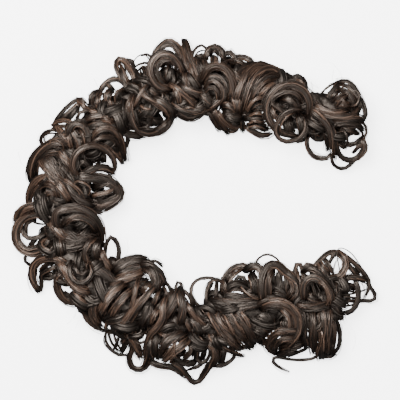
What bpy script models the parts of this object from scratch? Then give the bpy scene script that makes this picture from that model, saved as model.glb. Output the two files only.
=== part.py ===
"""Curly wrap-around hairpiece for a top knot, laid out in an open C on a flat surface.

A bendable core wire carries fourteen tufts. Each tuft is a dense head of bound hair that is threaded
on the wire, with its curled locks fused to it. Metres, +Z up, the underside of the curls at Z = 0.
"""

import math
from collections import namedtuple

import bmesh
import bpy
import numpy as np
from mathutils import Matrix, Vector

MM = 0.001

# The plan is the piece seen from above: millimetres, x to the right and y down the sheet.
PLAN_CENTRE = (194.0, 210.5)

# Core wire: its route on the plan, from the upper free end round to the lower one.
CORE_ROUTE = [
    (347, 117), (318, 108), (287, 103), (250, 92), (212, 88), (176, 92), (142, 101), (108, 117),
    (82, 140), (67, 170), (61, 204), (63, 238), (76, 268), (101, 293), (133, 312), (170, 324),
    (208, 324), (245, 314), (282, 307), (314, 303), (345, 299),
]
CORE_HEIGHT = 22.0
CORE_RADIUS = 2.2
CORE_SPACING = 16.0
CORE_END = 4.0  # bare wire past the last head
PAST_END = 80  # how far locks may reach past a free end
BORE_GAP = 0.3
BORE_PAST = 2.5  # the bore runs on past each end, so its flat face can be reached

# Heads of bound hair
HEAD_WIDTH = 44.0
HEAD_DEPTH = 31.0
HEAD_NECK = 0.80  # share of its size left where it meets its neighbour
HEAD_SECTIONS = 4
HEAD_SIDES = 8

# Where one tuft ends and the next begins: distance along the core, and how the border leans
# for each millimetre outwards from the core.
Border = namedtuple("Border", "along slant")
BORDERS = [
    Border(39, 0.0), Border(107, 0.0), Border(151, 0.1), Border(191, 0.15), Border(244, 0.0),
    Border(304, -0.1), Border(353, 0.0), Border(397, 0.0), Border(444, 0.0), Border(488, 0.0),
    Border(546, 0.0), Border(602, 0.15), Border(661, 0.0),
]
BORDER_GAP = 1.4

# A lock: the centre of its curl on the plan, its height, the curl's radius, how far its axis leans
# from upright and towards which plan direction (0 right, 90 up the sheet), the lock's width, its
# turns, the way it winds seen from the axis's tip, and how far it is drawn out from the core.
Lock = namedtuple("Lock", "x y z ring lean toward width turns way stretch")
LOCKS = [
    # 1: the upper free end
    Lock(319, 145, 12, 14.0, 8, 0, 5.5, 1.15, -1, 1.0),
    Lock(350, 146, 16, 12.5, 15, 90, 6.0, 1.20, 1, 1.0),
    Lock(345, 157, 6, 10.5, 5, 0, 4.0, 1.00, -1, 1.0),
    Lock(345, 102, 29, 18.5, 20, 0, 5.0, 1.10, -1, 1.0),
    Lock(343, 99, 32, 12.0, 68, 0, 12.0, 1.00, 1, 1.2),
    Lock(358, 129, 14, 8.0, 15, 0, 3.6, 1.10, -1, 1.0),
    # 2: two large rings face up beside the smooth fan
    Lock(288, 108, 36, 19.0, 10, 200, 7.5, 1.45, -1, 1.0),
    Lock(287, 128, 42, 12.5, 5, 0, 4.0, 1.15, 1, 1.0),
    Lock(293, 88, 24, 9.5, 84, 0, 18.0, 1.00, 1, 1.0),
    Lock(261, 125, 18, 9.5, 84, 10, 17.0, 1.00, -1, 1.0),
    Lock(259, 107, 33, 9.5, 20, 180, 6.0, 1.25, 1, 1.0),
    Lock(260, 79, 26, 13.5, 84, 155, 24.0, 1.00, -1, 1.0),
    # 3
    Lock(238, 68, 22, 12.0, 45, 75, 4.5, 1.05, 1, 1.0),
    Lock(227, 118, 16, 12.0, 30, 250, 9.0, 1.20, -1, 1.0),
    Lock(214, 88, 38, 18.0, 15, 30, 8.5, 1.60, -1, 1.0),
    Lock(201, 54, 22, 8.5, 30, 45, 3.6, 1.00, -1, 1.0),
    Lock(214, 56, 24, 8.5, 30, 120, 6.0, 1.10, 1, 1.0),
    # 4: the tall crest
    Lock(190, 107, 22, 12.5, 82, 8, 24.0, 0.95, 1, 1.0),
    Lock(186, 62, 33, 9.0, 84, 175, 9.0, 1.00, 1, 2.2),
    Lock(171, 54, 28, 14.5, 25, 270, 7.0, 1.10, -1, 1.0),
    Lock(167, 73, 39, 17.0, 12, 0, 8.5, 1.60, 1, 1.0),
    # 5
    Lock(125, 75, 26, 8.5, 78, 215, 9.0, 1.00, -1, 2.0),
    Lock(139, 74, 12, 8.0, 55, 30, 5.0, 1.00, 1, 1.5),
    Lock(152, 98, 40, 11.0, 30, 120, 6.0, 1.25, -1, 1.0),
    Lock(150, 117, 30, 18.0, 14, 240, 7.0, 1.30, -1, 1.0),
    Lock(112, 90, 18, 11.0, 15, 300, 7.0, 1.15, -1, 1.0),
    # 6: the outer corner, with one open ring on its inner side
    Lock(68, 112, 20, 13.0, 62, 132, 8.0, 1.10, 1, 1.0),
    Lock(51, 137, 18, 9.0, 12, 90, 4.0, 1.10, -1, 1.0),
    Lock(84, 118, 34, 7.5, 10, 0, 5.0, 1.20, 1, 1.0),
    Lock(76, 136, 36, 9.0, 80, 20, 11.0, 1.00, -1, 1.3),
    Lock(104, 112, 36, 12.0, 55, 80, 8.0, 1.10, 1, 1.0),
    Lock(94, 159, 36, 19.5, 10, 315, 7.0, 1.25, -1, 1.0),
    Lock(109, 147, 26, 15.0, 42, 60, 6.0, 1.05, -1, 1.0),
    # 7
    Lock(50, 165, 20, 19.0, 25, 200, 8.0, 1.15, 1, 1.0),
    Lock(54, 168, 34, 10.0, 78, 60, 13.0, 1.00, -1, 1.0),
    Lock(45, 191, 31, 14.5, 15, 270, 7.0, 1.25, -1, 1.0),
    Lock(73, 187, 40, 13.0, 20, 160, 7.0, 1.30, 1, 1.0),
    Lock(107, 190, 20, 16.0, 45, 118, 12.0, 1.15, -1, 1.0),
    # 8
    Lock(31, 234, 22, 17.0, 14, 0, 8.5, 1.20, -1, 1.0),
    Lock(33, 217, 30, 12.5, 55, 100, 8.0, 1.00, 1, 1.0),
    Lock(80, 226, 36, 19.5, 14, 250, 7.5, 1.60, -1, 1.0),
    Lock(56, 231, 34, 10.0, 70, 200, 8.0, 1.00, 1, 1.2),
    # 9
    Lock(47, 273, 26, 14.5, 25, 250, 7.0, 1.20, 1, 1.0),
    Lock(72, 285, 11, 16.0, 15, 60, 8.5, 1.20, 1, 1.0),
    Lock(82, 276, 38, 11.0, 12, 0, 7.0, 1.45, -1, 1.0),
    Lock(95, 247, 38, 9.0, 20, 180, 5.0, 1.10, 1, 1.0),
    Lock(112, 251, 16, 6.0, 35, 180, 4.5, 1.05, 1, 2.1),
    # 10
    Lock(137, 267, 24, 14.0, 36, 120, 8.5, 1.15, -1, 1.0),
    Lock(104, 308, 34, 12.5, 62, 310, 10.0, 1.05, -1, 1.2),
    Lock(118, 296, 36, 11.0, 74, 320, 8.0, 1.00, 1, 1.2),
    Lock(113, 323, 14, 12.0, 15, 0, 7.0, 1.10, 1, 1.0),
    Lock(90, 309, 16, 9.5, 20, 200, 7.0, 1.10, -1, 1.0),
    # 11
    Lock(155, 275, 28, 10.5, 82, 150, 14.0, 1.00, 1, 1.0),
    Lock(143, 305, 34, 12.0, 72, 320, 9.0, 1.00, 1, 1.2),
    Lock(168, 347, 30, 16.5, 18, 60, 8.5, 1.50, 1, 1.0),
    Lock(139, 356, 8, 10.0, 8, 0, 6.0, 1.10, -1, 1.0),
    Lock(179, 305, 30, 8.0, 84, 0, 12.0, 1.00, -1, 1.9),
    # 12
    Lock(206, 295, 20, 14.5, 6, 0, 3.8, 1.05, 1, 1.0),
    Lock(215, 291, 28, 10.0, 38, 0, 4.5, 1.10, -1, 1.0),
    Lock(211, 321, 32, 11.0, 72, 30, 9.0, 1.00, 1, 1.2),
    Lock(236, 333, 28, 13.0, 80, 20, 22.0, 1.00, -1, 1.4),
    Lock(196, 365, 8, 10.5, 12, 90, 5.0, 1.00, -1, 1.8),
    Lock(224, 357, 10, 10.5, 10, 0, 5.0, 1.10, 1, 1.0),
    # 13
    Lock(242, 282, 14, 16.0, 22, 180, 7.5, 1.20, -1, 1.0),
    Lock(278, 281, 36, 17.5, 8, 0, 7.5, 1.30, -1, 1.0),
    Lock(276, 322, 32, 20.0, 14, 0, 11.5, 1.15, -1, 1.0),
    Lock(286, 342, 14, 12.5, 60, 60, 15.0, 1.10, 1, 1.0),
    # 14: the lower free end
    Lock(299, 281, 30, 7.0, 82, 180, 5.0, 1.00, 1, 2.2),
    Lock(319, 287, 36, 17.0, 14, 20, 6.5, 1.30, -1, 1.0),
    Lock(331, 265, 26, 15.0, 12, 90, 6.0, 1.15, -1, 1.0),
    Lock(354, 280, 18, 17.0, 20, 225, 5.5, 1.05, -1, 1.0),
    Lock(347, 297, 31, 14.0, 14, 0, 5.0, 1.20, 1, 1.0),
    Lock(366, 292, 8, 9.0, 8, 0, 4.0, 1.00, -1, 1.0),
    Lock(315, 335, 24, 12.0, 82, 168, 22.0, 0.90, 1, 1.6),
    Lock(330, 338, 16, 9.5, 45, 0, 4.5, 1.05, -1, 1.8),
]

# Bed curls: every second tuft also lies on a low ring beside its head.
BED_OUT = 20.0
BED_RING = 12.0
BED_WIDTH = 5.5
BED_HEIGHT = 4.0
BED_LEAN = 9.0
BED_TURN = 137  # each bed curl leans this many degrees round from the last one's lean

# How every lock is made
SECTIONS_PER_TURN = 8
LEAD_SECTIONS = 3
LEAD_PULL = 0.42  # how far the lead from the root keeps each end's direction
JOIN_ANGLE = 115.0  # where a curl that is close to its root begins, from the root's side
NEAR_ROOT = 1.15  # a root within this many radii of the curl's centre is close
ROOT_SHARE = 0.55  # width at the root, as a share of the full width
ROOT_SWELL = 2.0  # how fast it reaches its full width
TIP_SHARE = 0.35
TIP_FADE = 2.6
ROOT_DEPTH = 6.0  # how far from the core's line a lock starts, inside its head
RING_SHRINK = 0.16  # the curl tightens by this share towards its tip
TURN_RISE = 0.75  # widths that the curl climbs along its axis in one turn
THICKNESS = 0.55  # of the width
BROAD_FROM = 10.5  # a lock this wide is a broad, thinner ribbon
BROAD_THICKNESS = 0.30
RIDGE_SHARE = 0.6  # of the thickness lies outside the lock's line

HAIR_COLOUR = (0.048, 0.034, 0.027, 1.0)
CORE_COLOUR = (0.020, 0.016, 0.014, 1.0)


def clear_scene():
    for obj in list(bpy.data.objects):
        bpy.data.objects.remove(obj, do_unlink=True)


def collection(name, hidden=False):
    made = bpy.data.collections.new(name)
    made.hide_render = hidden
    bpy.context.scene.collection.children.link(made)
    return made


def material(name, colour, roughness):
    made = bpy.data.materials.new(name)
    made.use_nodes = True
    shader = made.node_tree.nodes["Principled BSDF"]
    shader.inputs["Base Color"].default_value = colour
    shader.inputs["Roughness"].default_value = roughness
    shader.inputs["Metallic"].default_value = 0.0
    made.diffuse_color = colour
    return made


def on_plan(x, y):
    return np.array([x - PLAN_CENTRE[0], PLAN_CENTRE[1] - y])


def smooth_route(points, per_span=24):
    """A smooth curve through the points, as many closely spaced points."""
    points = np.array(points, float)
    ends = np.vstack([2 * points[0] - points[1], points, 2 * points[-1] - points[-2]])
    made = []
    for a, b, c, d in zip(ends, ends[1:], ends[2:], ends[3:]):
        for t in np.linspace(0, 1, per_span, endpoint=False):
            made.append(
                0.5 * (2 * b + (c - a) * t + (2 * a - 5 * b + 4 * c - d) * t**2
                       + (3 * b - a - 3 * c + d) * t**3)
            )
    return np.array(made + [points[-1]])


class Route:
    """The core's line on the plan: a place for each distance along it, and the way back.
    Past each end it runs on straight."""

    def __init__(self, points):
        line = smooth_route(points)
        ahead = np.arange(1, PAST_END)[:, None]
        before = line[0] - ahead[::-1] * (line[1] - line[0]) / np.linalg.norm(line[1] - line[0])
        after = line[-1] + ahead * (line[-1] - line[-2]) / np.linalg.norm(line[-1] - line[-2])
        self.points = np.vstack([before, line, after])
        steps = np.linalg.norm(np.diff(self.points, axis=0), axis=1)
        self.along = np.concatenate([[0], np.cumsum(steps)]) - len(before)
        self.length = self.along[len(before) + len(line) - 1]

    def at(self, along):
        return np.stack([np.interp(along, self.along, self.points[:, i]) for i in (0, 1)], axis=-1)

    def tangent(self, along):
        step = self.at(along + 0.5) - self.at(along - 0.5)
        return step / np.linalg.norm(step, axis=-1, keepdims=True)

    def outward(self, along):
        tangent = self.tangent(along)
        return np.stack([tangent[..., 1], -tangent[..., 0]], axis=-1)

    def nearest(self, places):
        """Distances along the core, and outwards from it, of places on the plan."""
        gaps = np.linalg.norm(self.points - places[..., None, :], axis=-1)
        along = self.along[gaps.argmin(axis=-1)]
        off = places - self.at(along)
        along = along + (off * self.tangent(along)).sum(axis=-1)
        return along, ((places - self.at(along)) * self.outward(along)).sum(axis=-1)


def tuft_limits(index, out):
    """Where a tuft starts and ends along the core, at this distance out."""
    low, high = None, None
    if index > 0:
        low = BORDERS[index - 1].along + BORDERS[index - 1].slant * out + BORDER_GAP / 2
    if index < len(BORDERS):
        high = BORDERS[index].along + BORDERS[index].slant * out - BORDER_GAP / 2
    if low is None:
        low = high - 3 * PAST_END
    if high is None:
        high = low + 3 * PAST_END
    return low, high


def tuft_of(along, out):
    return sum(along > border.along + border.slant * out for border in BORDERS)


def keep_in_tuft(mesh, index, route):
    """Slides or squeezes a lock along the core until it is between its tuft's two borders."""
    places = np.array([vertex.co[:2] for vertex in mesh.vertices]) / MM
    along, out = route.nearest(places)
    low, high = tuft_limits(index, out)
    share = (along - low) / (high - low)
    first, last = share.min(), share.max()
    if first >= 0 and last <= 1:
        return
    squeeze = max(1.0, last - first)
    start = max(0.0, min(first, 1 - (last - first)))
    fitted = low + (start + (share - first) / squeeze) * (high - low)
    moved = places + route.at(fitted) - route.at(along)
    moved += out[:, None] * (route.outward(fitted) - route.outward(along))
    for vertex, place in zip(mesh.vertices, moved):
        vertex.co[:2] = place * MM


def new_curve(name, points, radii, holder, bevel=None, depth=0.0, resolution=0, up=False):
    """A poly curve through the points (in mm), as thick as its radii say."""
    data = bpy.data.curves.new(name, "CURVE")
    data.dimensions = "3D"
    data.use_fill_caps = True
    data.twist_mode = "Z_UP" if up else "MINIMUM"
    if bevel:
        data.bevel_mode = "OBJECT"
        data.bevel_object = bevel
    data.bevel_depth = depth
    data.bevel_resolution = resolution
    spline = data.splines.new("POLY")
    spline.points.add(len(points) - 1)
    for point, place, radius in zip(spline.points, points, radii):
        point.co = (*[c * MM for c in place], 1)
        point.radius = radius
    obj = bpy.data.objects.new(name, data)
    holder.objects.link(obj)
    return obj


def as_mesh(curve, holder):
    """The curve as a closed mesh object in its place. The curve is removed."""
    bpy.context.view_layer.update()
    evaluated = curve.evaluated_get(bpy.context.evaluated_depsgraph_get())
    mesh = bpy.data.meshes.new_from_object(evaluated)
    mesh.transform(curve.matrix_world)
    work = bmesh.new()
    work.from_mesh(mesh)
    bmesh.ops.remove_doubles(work, verts=work.verts, dist=1e-6)
    bmesh.ops.recalc_face_normals(work, faces=work.faces)
    bmesh.ops.triangulate(work, faces=work.faces)
    work.to_mesh(mesh)
    work.free()
    name = curve.name
    bpy.data.objects.remove(curve)
    obj = bpy.data.objects.new(name, mesh)
    mesh.name = name
    if holder.hide_render:
        obj.hide_render = True
        obj.display_type = "WIRE"
    holder.objects.link(obj)
    return obj


def lock_section(name, thickness, holder):
    """The cross-section that a lock is swept with: a flat wedge one unit wide, ridge outwards."""
    data = bpy.data.curves.new(name, "CURVE")
    data.dimensions = "2D"
    spline = data.splines.new("POLY")
    ridge, back = thickness * RIDGE_SHARE, -thickness * (1 - RIDGE_SHARE)
    corners = [(ridge, 0), (back, 0.5), (back, -0.5)]
    spline.points.add(len(corners) - 1)
    for point, (x, y) in zip(spline.points, corners):
        point.co = (x * MM, y * MM, 0, 1)
    spline.use_cyclic_u = True
    obj = bpy.data.objects.new(name, data)
    obj.hide_render = True
    obj.display_type = "WIRE"
    holder.objects.link(obj)
    return obj


def curl_frame(lock, route):
    """The curl's own axes: origin at its centre, Z along its axis, X towards its root."""
    lean, toward = math.radians(lock.lean), math.radians(lock.toward)
    axis = Vector(
        (math.sin(lean) * math.cos(toward), math.sin(lean) * math.sin(toward), math.cos(lean))
    )
    centre = Vector((*on_plan(lock.x, lock.y), lock.z))
    along = float(route.nearest(np.array(centre[:2]))[0])
    along = min(max(along, ROOT_DEPTH), route.length - ROOT_DEPTH)
    core = Vector((*route.at(along), CORE_HEIGHT))
    root = core + (centre - core).normalized() * ROOT_DEPTH
    side = root - centre
    side -= side.dot(axis) * axis
    side = side.normalized() if side.length > 1 else axis.orthogonal().normalized()
    turned = Matrix((side, axis.cross(side), axis)).transposed()
    return turned.to_4x4(), centre, root


def lock_path(lock, root):
    """The lock's line in its curl's own axes, and its width at each point, in mm."""
    away = math.hypot(root.x, root.y)
    reach = lock.ring * lock.stretch
    near = away < reach * NEAR_ROOT
    start = math.radians(JOIN_ANGLE) if near else math.acos(reach / away)
    sweep = lock.turns * 2 * math.pi
    steps = round(SECTIONS_PER_TURN * lock.turns)
    ring = []
    for step in range(steps + 1):
        share = step / steps
        angle = start + sweep * share
        radius = lock.ring * (1 - RING_SHRINK * share)
        rise = lock.width * TURN_RISE * lock.turns * (share - 0.5)
        ring.append(
            Vector((radius * lock.stretch * math.cos(angle), radius * math.sin(angle), rise))
        )
    heading = (ring[1] - ring[0]).normalized()
    handle = (ring[0] - root).length * LEAD_PULL
    first = root + (Vector((0, 0, 0)) - root).normalized() * handle
    last = ring[0] - heading * handle
    lead = []
    for step in range(LEAD_SECTIONS):
        t = step / LEAD_SECTIONS
        lead.append(
            root * (1 - t) ** 3 + 3 * first * t * (1 - t) ** 2
            + 3 * last * t**2 * (1 - t) + ring[0] * t**3
        )
    path = lead + ring
    path = [Vector((p.x, p.y * lock.way, p.z)) for p in path]
    widths = []
    for step in range(len(path)):
        share = step / (len(path) - 1)
        swell = min(1, ROOT_SHARE + share * ROOT_SWELL)
        fade = min(1, TIP_SHARE + (1 - share) * TIP_FADE)
        widths.append(lock.width * min(swell, fade))
    return path, widths


def make_lock(name, lock, route, sections, holder):
    frame, centre, root = curl_frame(lock, route)
    local_root = frame.inverted() @ (root - centre)
    path, widths = lock_path(lock, local_root)
    section = sections[lock.width >= BROAD_FROM]
    curve = new_curve(name, path, widths, holder, bevel=section, up=True)
    curve.matrix_world = Matrix.Translation(centre * MM) @ frame
    piece = as_mesh(curve, holder)
    lowest = min(vertex.co.z for vertex in piece.data.vertices)
    piece.data.transform(Matrix.Translation((0, 0, max(0, -lowest))))  # it lies on the surface
    return piece


def bed_lock(index, low, high, route):
    """A low ring beside a tuft's head, on either side of the core in turn."""
    way = 1 if index % 4 == 1 else -1
    middle = (low + high) / 2
    place = route.at(middle) + route.outward(middle) * BED_OUT * way
    return Lock(
        place[0] + PLAN_CENTRE[0], PLAN_CENTRE[1] - place[1], BED_HEIGHT, BED_RING,
        BED_LEAN, index * BED_TURN % 360, BED_WIDTH, 1.0, way, 1.0,
    )


def head_section(name, holder):
    """The flattened round of hair that a head is swept with."""
    section = bpy.data.curves.new(name, "CURVE")
    section.dimensions = "2D"
    spline = section.splines.new("POLY")
    spline.points.add(HEAD_SIDES - 1)
    for index, point in enumerate(spline.points):
        angle = 2 * math.pi * (index + 0.5) / HEAD_SIDES
        point.co = (
            HEAD_WIDTH / 2 * math.cos(angle) * MM, HEAD_DEPTH / 2 * math.sin(angle) * MM, 0, 1
        )
    spline.use_cyclic_u = True
    profile = bpy.data.objects.new(name, section)
    profile.hide_render = True
    profile.display_type = "WIRE"
    holder.objects.link(profile)
    return profile


def make_head(name, low, high, route, section, holder):
    """The bound hair round the core: a flattened barrel, narrower where it meets its neighbours."""
    points, sizes = [], []
    for index, along in enumerate(np.linspace(low, high, HEAD_SECTIONS)):
        share = index / (HEAD_SECTIONS - 1)
        points.append((*route.at(along), CORE_HEIGHT))
        sizes.append(HEAD_NECK + (1 - HEAD_NECK) * math.sin(math.pi * share))
    return as_mesh(new_curve(name, points, sizes, holder, bevel=section, up=True), holder)


def core_points(route, past=0.0):
    """The core's line. Both of its end points lie further out by the length past."""
    count = round(route.length / CORE_SPACING)
    points = [Vector((*route.at(along), CORE_HEIGHT)) for along in np.linspace(0, route.length, count)]
    points[0] += (points[0] - points[1]).normalized() * past
    points[-1] += (points[-1] - points[-2]).normalized() * past
    return points


def unite(obj, others):
    """Fuses every object of a collection to this one. Locks may cross themselves and each other."""
    modifier = obj.modifiers.new("Unite", "BOOLEAN")
    modifier.operation = "UNION"
    modifier.operand_type = "COLLECTION"
    modifier.collection = others
    modifier.solver = "EXACT"
    modifier.use_self = True


def cut(obj, other):
    modifier = obj.modifiers.new("Cut", "BOOLEAN")
    modifier.operation = "DIFFERENCE"
    modifier.solver = "EXACT"
    modifier.object = other


def bake(obj, name, holder, finish):
    """The modified object as one plain mesh object, in the named collection."""
    bpy.context.view_layer.update()
    evaluated = obj.evaluated_get(bpy.context.evaluated_depsgraph_get())
    mesh = bpy.data.meshes.new_from_object(evaluated)
    mesh.name = name
    mesh.materials.clear()
    mesh.materials.append(finish)
    made = bpy.data.objects.new(name, mesh)
    holder.objects.link(made)
    return made


def drop_crumbs(obj):
    """Bits that the core's bore cuts free are removed: the largest body stays."""
    work = bmesh.new()
    work.from_mesh(obj.data)
    left = set(work.verts)
    bodies = []
    while left:
        body, front = set(), [left.pop()]
        while front:
            vertex = front.pop()
            body.add(vertex)
            for edge in vertex.link_edges:
                other = edge.other_vert(vertex)
                if other in left:
                    left.remove(other)
                    front.append(other)
        bodies.append(body)
    bodies.sort(key=len)
    for body in bodies[:-1]:
        print(obj.name, "drops a crumb of", len(body), "vertices")
        bmesh.ops.delete(work, geom=list(body), context="VERTS")
    work.to_mesh(obj.data)
    work.free()


def build():
    clear_scene()
    parts = collection("curly_hairpiece")
    guides = collection("guides", hidden=True)
    hair = material("hair", HAIR_COLOUR, 0.42)
    sleeve = material("core_sleeve", CORE_COLOUR, 0.8)
    route = Route([on_plan(x, y) for x, y in CORE_ROUTE])
    print("core length", round(route.length, 1), "mm")

    core_line = core_points(route)
    ones = [1.0] * len(core_line)
    core = new_curve("core_wire", core_line, ones, parts, depth=CORE_RADIUS * MM, resolution=1)
    core = as_mesh(core, parts)
    core.data.materials.append(sleeve)
    bore_line = core_points(route, BORE_PAST)
    bore = new_curve(
        "core_bore", bore_line, ones, guides, depth=(CORE_RADIUS + BORE_GAP) * MM, resolution=1
    )
    bore = as_mesh(bore, guides)

    sections = [
        lock_section("lock_section", THICKNESS, guides),
        lock_section("broad_section", BROAD_THICKNESS, guides),
    ]
    round_section = head_section("head_section", guides)
    tufts = [[] for _ in range(len(BORDERS) + 1)]
    for lock in LOCKS:
        tufts[tuft_of(*route.nearest(on_plan(lock.x, lock.y)))].append(lock)

    for index, locks in enumerate(tufts):
        low, high = tuft_limits(index, 0)
        low, high = max(low, CORE_END), min(high, route.length - CORE_END)
        if index % 2:
            locks.append(bed_lock(index, low, high, route))
        name = f"tuft_{index + 1:02d}"
        body = make_head(name + "_head", low, high, route, round_section, guides)
        keep_in_tuft(body.data, index, route)
        pieces = collection(name + "_locks", hidden=True)
        for number, lock in enumerate(locks):
            piece = make_lock(f"{name}_lock_{number + 1}", lock, route, sections, pieces)
            keep_in_tuft(piece.data, index, route)
        unite(body, pieces)
        cut(body, bore)
        tuft = bake(body, name, parts, hair)
        drop_crumbs(tuft)
        tuft.data.shade_smooth()
        print(name, len(locks), "locks,", len(tuft.data.polygons), "faces")


build()
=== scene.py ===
import math
from collections import namedtuple

import bpy
import numpy as np
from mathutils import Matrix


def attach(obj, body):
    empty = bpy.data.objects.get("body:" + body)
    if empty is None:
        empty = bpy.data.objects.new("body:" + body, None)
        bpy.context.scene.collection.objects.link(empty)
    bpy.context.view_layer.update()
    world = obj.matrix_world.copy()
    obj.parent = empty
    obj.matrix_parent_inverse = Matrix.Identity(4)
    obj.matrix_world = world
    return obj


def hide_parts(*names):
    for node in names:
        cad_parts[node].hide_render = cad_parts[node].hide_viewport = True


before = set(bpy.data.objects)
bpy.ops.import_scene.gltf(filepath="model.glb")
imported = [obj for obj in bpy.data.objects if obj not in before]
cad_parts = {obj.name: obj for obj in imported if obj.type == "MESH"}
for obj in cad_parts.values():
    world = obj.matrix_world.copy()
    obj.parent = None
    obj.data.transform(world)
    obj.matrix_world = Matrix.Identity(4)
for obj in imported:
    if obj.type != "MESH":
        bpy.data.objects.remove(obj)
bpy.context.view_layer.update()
print("frame loaded:", len(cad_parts), "nodes")

mm = 0.001

# Places on the plan are millimetres as seen from above: x to the right, y down the sheet.
plan = {
    "centreX": 194.0,
    "centreY": 210.5,
    "coreHeight": 22.0,  # mm above the surface
    "pastEnd": 80,  # how far locks may reach past a free end
}

coreRoute = [
    (347, 117), (318, 108), (287, 103), (250, 92), (212, 88), (176, 92), (142, 101), (108, 117),
    (82, 140), (67, 170), (61, 204), (63, 238), (76, 268), (101, 293), (133, 312), (170, 324),
    (208, 324), (245, 314), (282, 307), (314, 303), (345, 299),
]

# where one tuft ends and the next begins, along the core, and its slant for each millimetre out
tuftBorders = [
    (39, 0.0), (107, 0.0), (151, 0.1), (191, 0.15), (244, 0.0), (304, -0.1), (353, 0.0),
    (397, 0.0), (444, 0.0), (488, 0.0), (546, 0.0), (602, 0.15), (661, 0.0),
]

# x, y and z are the curl's centre, ring its radius, lean the tilt of its axis from upright and
# toward where it tilts to (0 right, 90 up the sheet), and way the sense that it winds in.
Lock = namedtuple("Lock", "x y z ring lean toward width turns way stretch")

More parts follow.
